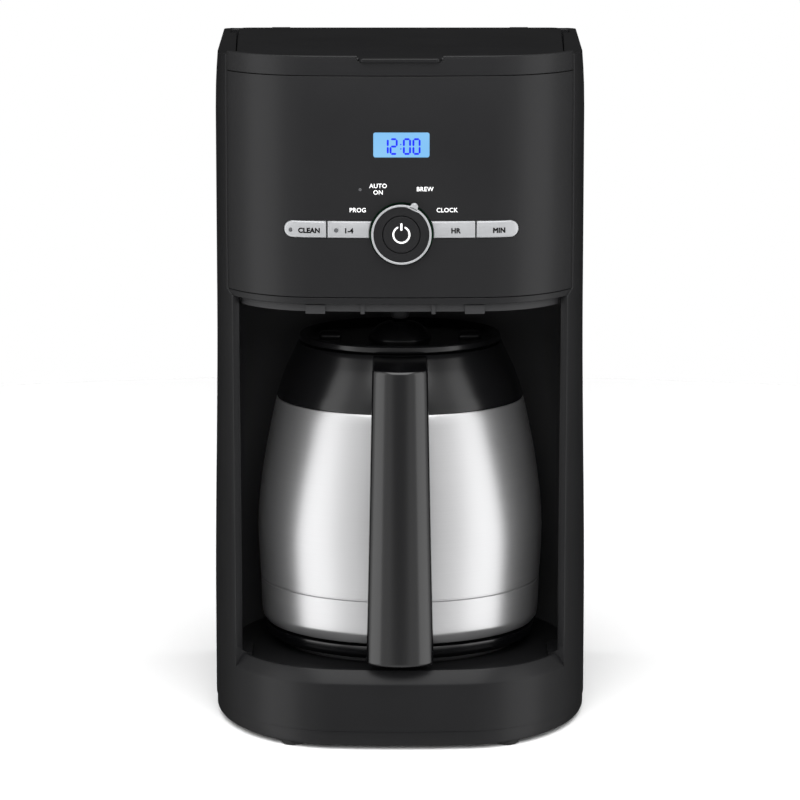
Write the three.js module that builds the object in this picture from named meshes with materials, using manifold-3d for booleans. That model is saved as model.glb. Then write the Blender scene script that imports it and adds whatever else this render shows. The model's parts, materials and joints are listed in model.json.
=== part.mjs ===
// Drip coffee maker with a thermal carafe, in millimetres, +Z up, front towards -Y.
// The origin is on the table, under the middle of the whole machine with its carafe in place.

import * as THREE from 'three';
import { mergeVertices } from 'three/addons/utils/BufferGeometryUtils.js';
import Module from 'manifold-3d';

const wasm = await Module();
wasm.setup();

// ---------------------------------------------------------------- driving dimensions

const GAP = 0.3;                 // clearance between pieces that touch
const MIDDLE_Y = 5.25;           // moves the housing back, so that the handle is counted too

// Plan of the head and of the base: both are straight at the sides and the back, with wide
// elliptical front corners. The base has the wider corners.
const HEAD = { front: -113, half: 95.8, backHalf: 99.3, back: 112.5, cornerX: 44, cornerY: 72 };
const BASE = { front: -114.5, half: 99.2, backHalf: 100.5, back: 112.5, cornerX: 36, cornerY: 103 };
const FRONT_BOW = 1.9;           // rise of the head's front across its middle stretch
const BACK_RADIUS = 8;
const SHARPEST = 1;              // a corner that is moved inwards keeps at least this radius
const WALL = 4;                  // housing wall
const SKIN = 3;                  // control panel, bands and covers

const FOOT_HEIGHT = 4.7;
const PLATE_BOTTOM = 5;
const HOUSING_BOTTOM = 10;
const RIM_LOW = 36.4;            // outer edge of the sloped rim round the bay floor
const RIM_HIGH = 41.5;           // its inner edge
const RIM_WIDTH = 9;
const FLOOR_TOP = 38.5;          // bay floor
const HEAD_BOTTOM = 232;
const PANEL_BOTTOM = 235.7;
const PANEL_TOP = 347.4;
const TOP = 358.5;
const SIDE_TOP = 356;
const PANEL_EDGE = 89;           // half width of the panel at its seams with the housing

const BAY_HALF = 86;             // half width of the opening between the pillars
const AXIS_Y = -18.5;            // carafe, basket outlet and bay are centred on this line
const BAY_RADIUS = 84.5;
const LINER_FRONT = -61;          // the liner's straight sides start here, behind the pillars

const CONTROL_X = 0.7;
const DIAL_Z = 268.1;
const DIAL_RADIUS = 15.8;
const BUTTON_Z = 269.8;
const BUTTON_HEIGHT = 9.5;
const DISPLAY = { width: 29.2, height: 12.9, z: 313 };
const RING_FRONT = -117;         // front of the dial's ring and of its pointer
const POINTER_BACK = -115.2;     // the pointer passes in front of the buttons beside the dial
const HUB_BORE = 9.8;            // hole in the dial round the power button
const POWER_RADIUS = 9.3;

const DECK = 340;                // underside of the deck that holds the basket
const BASKET_Y = -20;
const TANK = { half: 86, front: 70.6, back: 106, bottom: 44, top: 332, wall: 2 };
const RISER = { x: 84, y: 56, radius: 4.5 };
const HEATER = { radius: 46, tube: 6, z: 23, end: 34 };

const HINGE = { y: 103.5, z: 354.5, radius: 2 };

const CARAFE_BOTTOM = 41.9;
const COLLAR_SEAM = 170.3;
const COLLAR_TOP = 199.5;
const HANDLE = { front: -125, inner: -113, top: 199.5, bottom: 45, narrow: 28.2, wide: 34.6 };

// ---------------------------------------------------------------- materials

function finish(color, roughness, metalness = 0) {
  return new THREE.MeshStandardMaterial({ color, roughness, metalness });
}

const MATT_BLACK = finish('#1c1c1d', 0.55);
const PANEL_BLACK = finish('#232324', 0.45);
const GLOSS_BLACK = finish('#0c0c0d', 0.12);
const DARK_BLACK = finish('#131314', 0.6);
const SILVER_PLASTIC = finish('#b9babc', 0.35, 0.3);
const STEEL = finish('#c9cacc', 0.3, 1);
const LINER_STEEL = finish('#b4b6b8', 0.25, 1);
const RUBBER = finish('#151515', 0.85);
const SILICONE = finish('#d8d6cf', 0.6);
const CLEAR = finish('#a9b4b8', 0.1);
const NATURAL_PLASTIC = finish('#c8c9c5', 0.5);
const GOLD_MESH = finish('#b08d3c', 0.4, 1);
const ALUMINIUM = finish('#a3a5a8', 0.4, 1);
const BOARD_GREEN = finish('#1f5a36', 0.55);
const DISPLAY_BLUE = finish('#8ccdff', 0.3);
const ZINC = finish('#8d9094', 0.4, 1);

// ---------------------------------------------------------------- solids

function signedVolume(positions, triangles) {
  const corner = [new THREE.Vector3(), new THREE.Vector3(), new THREE.Vector3()];
  let total = 0;
  for (let i = 0; i < triangles.length; i += 3) {
    corner.forEach((point, k) => point.fromArray(positions, 3 * triangles[i + k]));
    total += corner[0].dot(corner[1].clone().cross(corner[2])) / 6;
  }
  return total;
}

// A closed three.js geometry as a solid, with its faces pointing out.
function solid(geometry) {
  const bare = geometry.clone();
  bare.deleteAttribute('normal');
  bare.deleteAttribute('uv');
  const merged = mergeVertices(bare, 1e-3);
  const positions = merged.attributes.position.array;
  const triangles = [];
  const index = merged.index.array;
  for (let i = 0; i < index.length; i += 3) {
    const [a, b, c] = [index[i], index[i + 1], index[i + 2]];
    if (a !== b && b !== c && c !== a) triangles.push(a, b, c);
  }
  if (signedVolume(positions, triangles) < 0) triangles.reverse();
  return new wasm.Manifold(new wasm.Mesh({
    numProp: 3,
    vertProperties: new Float32Array(positions),
    triVerts: new Uint32Array(triangles),
  }));
}

function cut(body, ...tools) {
  return tools.reduce((rest, tool) => rest.subtract(tool), body);
}

function join(body, ...others) {
  return others.reduce((whole, other) => whole.add(other), body);
}

function piece(name, body, material, position = [0, 0, 0]) {
  const result = body.getMesh();
  const geometry = new THREE.BufferGeometry();
  geometry.setAttribute('position', new THREE.BufferAttribute(result.vertProperties, 3));
  geometry.setIndex(new THREE.BufferAttribute(result.triVerts, 1));
  geometry.computeVertexNormals();
  const mesh = new THREE.Mesh(geometry, material);
  mesh.name = name;
  mesh.position.set(...position);
  return mesh;
}

// Upright solid of a plan drawn in X and Y.
function prism(shape, bottom, top, curveSegments = 7) {
  const options = { depth: top - bottom, bevelEnabled: false, curveSegments };
  return solid(new THREE.ExtrudeGeometry(shape, options).translate(0, 0, bottom));
}

// Solid of a side view drawn in Y and Z, with the given width along X.
function sideProfile(shape, width, reshape = () => {}) {
  const options = { depth: width, bevelEnabled: false, curveSegments: 5 };
  const geometry = new THREE.ExtrudeGeometry(shape, options).translate(0, 0, -width / 2);
  geometry.rotateX(Math.PI / 2).rotateZ(Math.PI / 2);
  reshape(geometry.attributes.position);
  return solid(geometry);
}

// Solid of a front view drawn in X and Z, between two depths along Y.
function frontProfile(shape, front, back, curveSegments = 8) {
  const options = { depth: back - front, bevelEnabled: false, curveSegments };
  return solid(new THREE.ExtrudeGeometry(shape, options).rotateX(Math.PI / 2).translate(0, back, 0));
}

function block(x0, x1, y0, y1, z0, z1) {
  const geometry = new THREE.BoxGeometry(x1 - x0, y1 - y0, z1 - z0);
  return solid(geometry.translate((x0 + x1) / 2, (y0 + y1) / 2, (z0 + z1) / 2));
}

function drum(radius, bottom, top, x = 0, y = 0, segments = 24) {
  const geometry = new THREE.CylinderGeometry(radius, radius, top - bottom, segments);
  return solid(geometry.rotateX(Math.PI / 2).translate(x, y, (bottom + top) / 2));
}

// Cylinder along Y.
function plug(radius, front, back, x, z, segments = 28) {
  const geometry = new THREE.CylinderGeometry(radius, radius, back - front, segments);
  return solid(geometry.translate(x, (front + back) / 2, z));
}

// Solid turned about a vertical axis, from [radius, height] pairs.
function turned(profile, y = 0, segments = 32) {
  const points = profile.map(([radius, height]) => new THREE.Vector2(radius, height));
  return solid(new THREE.LatheGeometry(points, segments).rotateX(Math.PI / 2).translate(0, y, 0));
}

function circle(radius, x = 0, y = 0) {
  return new THREE.Shape().absarc(x, y, radius, 0, 2 * Math.PI);
}

// Round bar or hose through the given points.
function tube(points, radius, steps, sides = 8) {
  const places = points.map((point) => new THREE.Vector3(...point));
  const path = new THREE.CatmullRomCurve3(places, false, 'centripetal');
  const options = { steps, extrudePath: path, curveSegments: sides / 2 };
  return solid(new THREE.ExtrudeGeometry(circle(radius), options));
}

function rectangle(width, height, x = 0, y = 0) {
  const shape = new THREE.Shape();
  shape.moveTo(x - width / 2, y - height / 2).lineTo(x + width / 2, y - height / 2);
  shape.lineTo(x + width / 2, y + height / 2).lineTo(x - width / 2, y + height / 2);
  return shape;
}

// ---------------------------------------------------------------- plan of the machine

// The outline of a plan, moved inwards by inset on every side.
function outline(plan, inset = 0) {
  const half = plan.half - inset;
  const backHalf = plan.backHalf - inset;
  const front = plan.front + inset;
  const back = plan.back - inset;
  const sideStart = plan.front + plan.cornerY;
  const radius = Math.max(BACK_RADIUS - inset, SHARPEST);
  const ROUND = 0.5523;          // handle length that makes a cubic curve a quarter ellipse
  const deep = (sideStart - front) * ROUND;
  const wide = (half - plan.cornerX) * ROUND;
  const shape = new THREE.Shape();
  shape.moveTo(-plan.cornerX, front);
  shape.quadraticCurveTo(0, front - FRONT_BOW * 0.5, plan.cornerX, front);
  shape.bezierCurveTo(plan.cornerX + wide, front, half, sideStart - deep, half, sideStart);
  shape.lineTo(backHalf, back - radius);
  shape.quadraticCurveTo(backHalf, back, backHalf - radius, back);
  shape.lineTo(-backHalf + radius, back);
  shape.quadraticCurveTo(-backHalf, back, -backHalf, back - radius);
  shape.lineTo(-half, sideStart);
  shape.bezierCurveTo(-half, sideStart - deep, -plan.cornerX - wide, front, -plan.cornerX, front);
  return shape;
}

function filled(plan, inset, bottom, top) {
  return prism(outline(plan, inset), bottom, top);
}

// Band of the head's front between the two seams, with the given skin thickness.
function frontBand(bottom, top, outerInset, innerInset, half) {
  const core = filled(HEAD, innerInset, bottom - 1, top + 1);
  const ring = filled(HEAD, outerInset, bottom, top).subtract(core);
  return ring.intersect(block(-half, half, -130, -50, bottom - 1, top + 1));
}

// U-shaped plan round the bay, at a distance from its axis.
function bayShape(radius, front) {
  const shape = new THREE.Shape();
  shape.moveTo(-radius, front).lineTo(radius, front).lineTo(radius, AXIS_Y);
  shape.absarc(0, AXIS_Y, radius, 0, Math.PI);
  return shape;
}

// ---------------------------------------------------------------- housing

function mainHousing() {
  const body = join(
    filled(BASE, 0, HOUSING_BOTTOM, HEAD_BOTTOM),
    filled(HEAD, 0, HEAD_BOTTOM - 1, SIDE_TOP),
  );
  const hollow = join(
    filled(BASE, WALL, HOUSING_BOTTOM - 1, HEAD_BOTTOM + 1),
    filled(HEAD, WALL, HEAD_BOTTOM, SIDE_TOP + 1),
  );
  const bayOpening = block(-BAY_HALF, BAY_HALF, -130, -20, RIM_LOW, HEAD_BOTTOM + 1);
  const panelOpening = block(-PANEL_EDGE, PANEL_EDGE, -130, -50, HEAD_BOTTOM - 2, SIDE_TOP + 1);
  const window = block(90, 110, 78, 92, 90, 300);
  const glandHole = plug(7, 100, 120, 60, 24);
  return cut(body, hollow, bayOpening, panelOpening, window, glandHole);
}

function basePlate() {
  const plate = filled(BASE, 2.5, PLATE_BOTTOM, HOUSING_BOTTOM - GAP);
  const holes = screwPlaces().map(([x, y]) => drum(1.9, 0, 12, x, y, 12));
  return cut(plate, ...holes);
}

function screwPlaces() {
  return [[-78, -50], [78, -50], [-82, 88], [82, 88]];
}

function baseScrew() {
  return join(drum(3.2, 2.8, 4.7, 0, 0, 12), drum(1.5, 4.6, 20, 0, 0, 10));
}

function foot() {
  return turned([[0, 0], [5, 0], [6, 1], [6, FOOT_HEIGHT], [0, FOOT_HEIGHT]], 0, 16);
}

// Plan of the space that the rear corners of the machine keep free for pipes and cables.
function rearSpace(bottom, top) {
  return join(
    block(-130, 130, 67, 130, bottom, top),
    block(-130, -70, 38, 130, bottom, top),
    block(70, 130, 38, 130, bottom, top),
  );
}

// Top of the base: its rim slopes down and out to the front, and the bay floor is sunk in it.
function baseCover() {
  const rise = RIM_HIGH - RIM_LOW - 1.2;
  const bevel = { bevelThickness: rise, bevelSize: RIM_WIDTH, bevelSegments: 1 };
  const options = { depth: 1, curveSegments: 7, ...bevel };
  const slope = new THREE.ExtrudeGeometry(outline(BASE, RIM_WIDTH), options);
  const rim = solid(slope.translate(0, 0, RIM_LOW + 0.2));
  const tongue = block(-BAY_HALF + GAP, BAY_HALF - GAP, -130, -60, RIM_LOW + GAP, RIM_HIGH + 1);
  const inner = filled(BASE, WALL + GAP, RIM_LOW + GAP, RIM_HIGH + 1);
  const floor = prism(bayShape(BAY_RADIUS - GAP, -130), FLOOR_TOP, RIM_HIGH + 1);
  const recess = floor.intersect(filled(BASE, RIM_WIDTH + 0.5, FLOOR_TOP - 1, RIM_HIGH + 2));
  return cut(rim.intersect(join(tongue, inner)), recess, rearSpace(0, 60));
}

function bayLiner() {
  const wall = prism(bayShape(BAY_RADIUS + 2, LINER_FRONT), RIM_HIGH + GAP, HEAD_BOTTOM - GAP, 12);
  const space = prism(bayShape(BAY_RADIUS, -140), 0, 300, 12);
  return wall.subtract(space);
}

// Underside of the head, with a round opening for the basket outlet.
function headFloor() {
  const plate = filled(HEAD, SKIN + 1.5, HEAD_BOTTOM, HEAD_BOTTOM + 3);
  return cut(plate, rearSpace(200, 300), drum(16, 200, 300, 0, AXIS_Y, 28));
}

function controlPanel() {
  const band = frontBand(PANEL_BOTTOM, PANEL_TOP, 0, SKIN, PANEL_EDGE - GAP);
  const window = frontProfile(
    rectangle(DISPLAY.width + 1, DISPLAY.height + 1, CONTROL_X, DISPLAY.z), -130, -100);
  const slots = buttonShapes(0.35).map(({ shape }) => frontProfile(shape, -130, -90));
  return cut(band, window, plug(DIAL_RADIUS + 0.8, -130, -100, CONTROL_X, DIAL_Z, 36), ...slots);
}

function chinTrim() {
  return frontBand(HEAD_BOTTOM, PANEL_BOTTOM - GAP, 0.8, SKIN + 1.2, PANEL_EDGE - GAP);
}

// Band above the control panel. A shallow notch leaves room for the lid's lift tab.
function topTrim() {
  const band = frontBand(PANEL_TOP + GAP, TOP - 0.5, 0, SKIN, PANEL_EDGE - GAP);
  return band.subtract(block(-22.5, 22.5, -130, -100, TOP - 3.5, TOP + 1));
}

function topDeck() {
  const plate = filled(HEAD, WALL + GAP, DECK, DECK + 2.5);
  const basket = drum(54, 300, 400, 0, BASKET_Y, 36);
  const tankMouth = block(-82, 82, 76, 102, 300, 400);
  const riserHole = drum(RISER.radius + 0.5, 300, 400, RISER.x, RISER.y, 12);
  return cut(plate, basket, tankMouth, riserHole);
}

function waterTank() {
  const { half, front, back, bottom, top, wall } = TANK;
  const body = block(-half, half, front, back, bottom, top);
  const water = block(-half + wall, half - wall, front + wall, back - wall, bottom + wall, top + 1);
  const outlet = drum(4, 38, bottom + 1, -40, 88, 16);
  const bore = drum(2.6, 37, bottom + wall + 1, -40, 88, 16);
  return cut(join(body, outlet), water, bore);
}

function waterWindow() {
  return block(95.5, 98.6, 78 + GAP, 92 - GAP, 90 + GAP, 300 - GAP);
}

function waterFilterHolder() {
  const cup = drum(11, 52, 96, 30, 88, 20);
  return cut(cup, drum(9.5, 54, 100, 30, 88, 20));
}

function cordGland() {
  const flange = plug(9.5, 112.5 + GAP, 114.5, 60, 24, 20);
  const neck = plug(6.6, 104, 113.5, 60, 24, 20);
  return cut(join(flange, neck), plug(3.6, 100, 120, 60, 24, 16));
}

// ---------------------------------------------------------------- brewing parts

function filterBasket() {
  const outside = [
    [0, 250], [40, 250], [51, DECK], [53, DECK], [53, DECK + 2.8], [57, DECK + 2.8], [57, DECK + 5],
    [50, DECK + 5], [38.5, 253], [0, 253],
  ];
  const cup = turned(outside, BASKET_Y, 32);
  const spout = drum(10, 219, 251, 0, AXIS_Y, 24);
  return cut(join(cup, spout), drum(7, 200, 260, 0, AXIS_Y, 24));
}

function permanentFilter() {
  const profile = [
    [0, 258], [33, 258], [44.5, DECK - 4], [44.5, DECK + 1], [43.2, DECK + 1], [43.2, DECK - 4],
    [31.9, 259.2], [0, 259.2],
  ];
  return turned(profile, BASKET_Y, 28);
}

// Pushed up by the carafe's lid, it opens the basket outlet.
function dripStopValve() {
  const profile = [
    [0, 211.6], [4, 211.6], [5, 213], [5, 222], [6.4, 224], [6.4, 226], [2.2, 228], [2.2, 242], [0, 242],
  ];
  return turned(profile, AXIS_Y, 20);
}

function dripStopSpring() {
  const turns = 5;
  const points = [];
  for (let i = 0; i <= turns * 8; i += 1) {
    const angle = (i / 8) * 2 * Math.PI;
    const height = 227.4 + (i / (turns * 8)) * 18;
    points.push([4.4 * Math.cos(angle), AXIS_Y + 4.4 * Math.sin(angle), height]);
  }
  return tube(points, 0.4, turns * 10, 4);
}

// Horseshoe bar with the water pipe cast in, open to the rear.
function heater() {
  const legs = (side) => [HEATER.end, 8].map((y) => [side * HEATER.radius, y, HEATER.z]);
  const bend = [];
  for (let i = 0; i <= 10; i += 1) {
    const angle = Math.PI * (1 + i / 10);
    bend.push([HEATER.radius * Math.cos(angle), AXIS_Y + HEATER.radius * Math.sin(angle), HEATER.z]);
  }
  return tube([...legs(-1), ...bend, ...legs(1).reverse()], HEATER.tube, 22, 10);
}

function heaterBracket() {
  const plate = block(-12, 12, -76, -52.5, 12.5, 15);
  return join(plate, block(-12, 12, -76, -74, 12.5, 30), block(-12, 12, -54, -52.5, 12.5, 30));
}

function thermostat() {
  return join(drum(8, 29.6, 33.5, 0, 0, 18), drum(5, 33.4, 35.4, 0, 0, 14));
}

function thermalFuse() {
  return solid(new THREE.CylinderGeometry(2, 2, 16, 12).rotateZ(0.5));
}

function inletHose() {
  const x = -HEATER.radius;
  return tube([[-40, 88, 26.6], [-40, 88, 24], [-41, 78, 20], [x, 56, 21], [x, 44, HEATER.z],
    [x, HEATER.end + GAP, HEATER.z]], 3.6, 16);
}

function checkValve() {
  return turned([[0, 27], [5, 27], [6, 29], [6, 34], [5, 36], [3, 36], [3, 37.2], [0, 37.2]], 0, 16);
}

function outletHose() {
  const x = HEATER.radius;
  return tube([[x, HEATER.end + GAP, HEATER.z], [x, 44, HEATER.z], [60, 54, 20], [78, 56, 20],
    [RISER.x, RISER.y, 24], [RISER.x, RISER.y, 28.6]], 3.6, 16);
}

function riserTube() {
  const outer = drum(RISER.radius - 0.6, 29, DECK + 3.5, RISER.x, RISER.y, 14);
  return outer.subtract(drum(2.6, 20, 400, RISER.x, RISER.y, 14));
}

function portSeal() {
  const ring = drum(7, DECK + 3, DECK + 6.5, RISER.x, RISER.y, 16);
  return ring.subtract(drum(4.2, 300, 400, RISER.x, RISER.y, 16));
}

// ---------------------------------------------------------------- electrical parts

function controlBoard() {
  return block(-62, 62, -98, -96.4, 244, 332);
}

function displayModule() {
  return block(CONTROL_X - 19, CONTROL_X + 19, -108.6, -100, DISPLAY.z - 10, DISPLAY.z + 10);
}

function displayLens() {
  const shape = rectangle(DISPLAY.width, DISPLAY.height, CONTROL_X, DISPLAY.z);
  return frontProfile(shape, HEAD.front - 0.2, HEAD.front + 2.2);
}

function powerBoard() {
  const board = block(-76, -48, 62, 104, 14, 15.6);
  const relay = block(-74, -60, 66, 84, 15.5, 31);
  return join(board, relay, block(-56, -51, 66, 86, 15.5, 28));
}

function controlCable() {
  return tube([
    [-68, 97, 21], [-80, 97, 24], [-88, 80, 30], [-91, 60, 60], [-91, 56, 180], [-91, 52, 310],
    [-88, -20, 318], [-80, -60, 300], [-56, -80, 290], [-56, -88, 290], [-56, -96, 290],
  ], 2, 34, 6);
}

// ---------------------------------------------------------------- lid

function lid() {
  const plan = { ...HEAD, half: 94.4, backHalf: 96, back: 101.5 + SKIN + GAP };
  const plate = filled(plan, SKIN + GAP, TOP - 3.6, TOP);
  const skirt = filled(plan, 9, TOP - 9, TOP - 3).subtract(filled(plan, 11, TOP - 10, TOP - 2));
  const tab = block(-21.2, 21.2, HEAD.front - 2.6, HEAD.front + 8, TOP - 3, TOP);
  const knuckles = [-66, 66].map((x) => hingeBlock(x - 5, x + 5));
  const rearSkirt = block(-110, 110, 94, 130, 340, TOP - 3.6);
  const plain = cut(join(plate, skirt), rearSkirt);
  return cut(join(plain, tab, ...knuckles), hingeRod(-80, 80, HINGE.radius + 0.1));
}

function hingeBlock(x0, x1) {
  const barrel = hingeRod(x0, x1, HINGE.radius + 1.8);
  return join(barrel, block(x0, x1, HINGE.y - 4.3, HINGE.y, HINGE.z - 2, TOP - 0.3));
}

function hingeRod(x0, x1, radius) {
  const geometry = new THREE.CylinderGeometry(radius, radius, x1 - x0, 16);
  return solid(geometry.rotateZ(Math.PI / 2).translate((x0 + x1) / 2, HINGE.y, HINGE.z));
}

// Duct under the lid that leads hot water from the riser to the spray plate.
function lidDuct() {
  const z = TOP - 6;
  return tube([[RISER.x - 7, RISER.y - 8, z], [52, 30, z], [20, 0, z], [4, BASKET_Y + 4, z]], 2, 12);
}

function showerHead() {
  return turned([[0, 346.2], [34, 346.2], [36, 347.5], [36, 349.6], [0, 349.6]], BASKET_Y, 28);
}

// ---------------------------------------------------------------- controls

// The four bar buttons beside the dial, in front view; grow widens each all round.
function buttonShapes(grow = 0) {
  const spans = [
    ['clean_button', -60.4, -38.6, -1],
    ['cups_button', -38.0, -15.6, 0],
    ['hour_button', 15.6, 38.0, 0],
    ['minute_button', 38.6, 60.4, 1],
  ];
  return spans.map(([name, x0, x1, roundEnd]) => {
    const radius = BUTTON_HEIGHT / 2 + grow;
    const left = CONTROL_X + x0 - grow;
    const right = CONTROL_X + x1 + grow;
    const [low, high] = [BUTTON_Z - radius, BUTTON_Z + radius];
    const shape = new THREE.Shape();
    if (roundEnd < 0) shape.absarc(left + radius, BUTTON_Z, radius, Math.PI / 2, 1.5 * Math.PI);
    else shape.moveTo(left, high).lineTo(left, low);
    if (roundEnd > 0) shape.absarc(right - radius, BUTTON_Z, radius, -Math.PI / 2, Math.PI / 2);
    else shape.lineTo(right, low).lineTo(right, high);
    return { name, shape };
  });
}

function barButton(shape) {
  const face = filled(HEAD, -0.9, 240, 300).subtract(filled(HEAD, 6, 230, 310));
  const key = frontProfile(shape, -130, -90).intersect(face);
  return key.subtract(plug(DIAL_RADIUS + 1.1, -130, -100, CONTROL_X, DIAL_Z, 36));
}

function selectorRing() {
  const ring = plug(DIAL_RADIUS, RING_FRONT, -109.5, 0, 0, 36);
  const pointer = plug(2.3, RING_FRONT, POINTER_BACK, 0, 16.1, 16);
  return cut(join(ring, pointer), plug(DIAL_RADIUS - 1.5, -120, -100, 0, 0, 36));
}

function selectorHub() {
  return plug(DIAL_RADIUS - 1.8, -116, -108, 0, 0, 32).subtract(plug(HUB_BORE, -120, -100, 0, 0, 32));
}

function powerButton() {
  return plug(POWER_RADIUS, -116.4, -106, 0, 0, 32);
}

// ---------------------------------------------------------------- carafe

const CARAFE_SIDE = [
  [70, 50], [73.4, 52.5], [74, 56], [74.6, 74], [75.8, 100.7], [74.7, 116.6], [72, 136], [68.8, 154],
  [65.6, COLLAR_SEAM - GAP],
];
const COLLAR_SIDE = [[65.6, COLLAR_SEAM], [61.5, 183], [56.5, 194], [54.5, COLLAR_TOP]];

function moved(profile, inwards) {
  return profile.map(([radius, height]) => [radius - inwards, height]);
}

function carafeShell() {
  const outside = [[0, 49.5], [64, 49.5], ...CARAFE_SIDE];
  const inside = moved(CARAFE_SIDE, 1).reverse();
  inside[inside.length - 1][1] = 51;
  return turned([...outside, ...inside, [0, 51]]);
}

function carafeLiner() {
  const side = [[62, 55], [67, 60], [69.5, 100], [66, 136], [60, 165], [51, 184], [48.5, 197]];
  return turned([[0, 54], ...side, ...moved(side, 1.2).reverse(), [0, 55.2]]);
}

function carafeCollar() {
  const outside = [[64.6, COLLAR_SEAM], ...COLLAR_SIDE];
  return turned([...outside, [51, COLLAR_TOP], [51.6, 186], [61.2, COLLAR_SEAM], [64.6, COLLAR_SEAM]]);
}

function carafeBaseRing() {
  const profile = [[60, CARAFE_BOTTOM], [69, CARAFE_BOTTOM], [71.5, 45], [71.5, 48.8], [58, 48.8]];
  return turned([...profile, profile[0]]);
}

function carafeHandle() {
  const { front, inner, top, bottom, narrow, wide } = HANDLE;
  const side = new THREE.Shape();
  side.moveTo(-60, top).lineTo(front + 6, top).quadraticCurveTo(front, top, front, top - 6);
  side.lineTo(front + 3.5, bottom + 8).quadraticCurveTo(front + 4, bottom, front + 12, bottom);
  side.lineTo(-60, bottom + 1).lineTo(-60, bottom + 10).lineTo(inner, bottom + 12);
  side.lineTo(inner - 0.5, top - 26).quadraticCurveTo(inner, top - 15, inner + 12, top - 14);
  side.lineTo(-60, top - 12);
  const narrowUpwards = (position) => {
    for (let i = 0; i < position.count; i += 1) {
      const share = (position.getZ(i) - bottom) / (top - bottom);
      position.setX(i, position.getX(i) * THREE.MathUtils.lerp(1, narrow / wide, share));
    }
  };
  const grip = sideProfile(side, wide, narrowUpwards);
  const body = [[0, 0], [72, 0], [72, 49], ...moved(CARAFE_SIDE, -GAP).slice(1)];
  const neck = moved(COLLAR_SIDE, -GAP);
  return grip.subtract(turned([...body, ...neck, [54.8, 260], [0, 260]], AXIS_Y, 48));
}

function carafeLid() {
  const cap = turned([
    [0, 196], [47, 196], [47, 200], [53, 200.2], [53.6, 201], [53, 204.2], [51.5, 204.6], [50, 203],
    [47, 201.6], [14, 201.6], [0, 201.6],
  ]);
  const hub = turned([[0, 200], [15, 200], [15, 206], [12, 209.4], [0, 210.4]], 0, 24);
  const grips = [-1, 1].map((side) => block(side * 37 - 6, side * 37 + 6, -6, 6, 201, 206.5));
  const inlet = drum(3.2, 190, 220, 0, 0, 16);
  return cut(join(cap, hub, ...grips), inlet);
}

function carafeLidSeal() {
  return turned([[44, 190.5], [46.9, 190.5], [46.9, 195.6], [44, 195.6], [44, 190.5]]);
}

function carafeFlowTube() {
  const profile = [[3.4, 80], [5, 80], [5, 194], [12, 194.5], [12, 195.7], [3.4, 195.7], [3.4, 80]];
  return turned(profile, 0, 16);
}

function carafeRest() {
  const ring = [[62, 38.8], [63, 39.4], [63, 40.6], [61.5, 41.2], [58, 40.2]];
  return turned([[0, 38.8], ...ring, [0, 40.2]], AXIS_Y);
}

// ---------------------------------------------------------------- assembly

const group = new THREE.Group();
const machine = new THREE.Group();
machine.position.y = MIDDLE_Y;
group.add(machine);

machine.add(
  piece('main_housing', mainHousing(), MATT_BLACK),
  piece('base_plate', basePlate(), DARK_BLACK),
  piece('base_cover', baseCover(), MATT_BLACK),
  piece('bay_liner', bayLiner(), DARK_BLACK),
  piece('head_floor', headFloor(), DARK_BLACK),
  piece('control_panel', controlPanel(), PANEL_BLACK),
  piece('chin_trim', chinTrim(), MATT_BLACK),
  piece('top_trim', topTrim(), PANEL_BLACK),
  piece('top_deck', topDeck(), DARK_BLACK),
  piece('carafe_rest', carafeRest(), DARK_BLACK),
  piece('water_tank', waterTank(), NATURAL_PLASTIC),
  piece('water_window', waterWindow(), CLEAR),
  piece('water_filter_holder', waterFilterHolder(), NATURAL_PLASTIC),
  piece('cord_gland', cordGland(), RUBBER),
);

for (const [end, y] of [['front', -98], ['rear', 90]]) {
  for (const [side, x] of [['left', -55.5], ['right', 55.5]]) {
    machine.add(piece(`foot_${end}_${side}`, foot(), RUBBER, [x, y, 0]));
  }
}
screwPlaces().forEach(([x, y], i) => {
  machine.add(piece(`base_screw_${i + 1}`, baseScrew(), ZINC, [x, y, 0]));
});

machine.add(
  piece('filter_basket', filterBasket(), MATT_BLACK),
  piece('permanent_filter', permanentFilter(), GOLD_MESH),
  piece('drip_stop_valve', dripStopValve(), NATURAL_PLASTIC),
  piece('drip_stop_spring', dripStopSpring(), ZINC),
  piece('heater', heater(), ALUMINIUM),
  piece('heater_bracket', heaterBracket(), ZINC),
  piece('thermostat', thermostat(), ZINC, [0, AXIS_Y - HEATER.radius, 0]),
  piece('thermal_fuse', thermalFuse(), SILICONE, [-HEATER.radius - 11, AXIS_Y, HEATER.z]),
  piece('inlet_hose', inletHose(), SILICONE),
  piece('check_valve', checkValve(), NATURAL_PLASTIC, [-40, 88, 0]),
  piece('outlet_hose', outletHose(), SILICONE),
  piece('riser_tube', riserTube(), ALUMINIUM),
  piece('port_seal', portSeal(), SILICONE),
);

machine.add(
  piece('control_board', controlBoard(), BOARD_GREEN),
  piece('display_module', displayModule(), DISPLAY_BLUE),
  piece('display_lens', displayLens(), DISPLAY_BLUE),
  piece('power_board', powerBoard(), BOARD_GREEN),
  piece('control_cable', controlCable(), RUBBER),
);

machine.add(
  piece('lid', lid(), MATT_BLACK),
  piece('lid_duct', lidDuct(), DARK_BLACK),
  piece('shower_head', showerHead(), DARK_BLACK),
  piece('hinge_pin_left', hingeRod(-74, -58, HINGE.radius - 0.1), ZINC),
  piece('hinge_pin_right', hingeRod(58, 74, HINGE.radius - 0.1), ZINC),
);

const dial = new THREE.Group();
dial.position.set(CONTROL_X, 0, DIAL_Z);
const POINTER_TURN = 0.4311;     // the pointer's place at the brew mark, clockwise from the top
const ring = piece('selector_ring', selectorRing(), SILVER_PLASTIC);
ring.rotation.y = POINTER_TURN;
dial.add(
  ring,
  piece('selector_hub', selectorHub(), PANEL_BLACK),
  piece('power_button', powerButton(), PANEL_BLACK),
);
machine.add(dial);
for (const { name, shape } of buttonShapes()) {
  machine.add(piece(name, barButton(shape), SILVER_PLASTIC));
}

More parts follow.
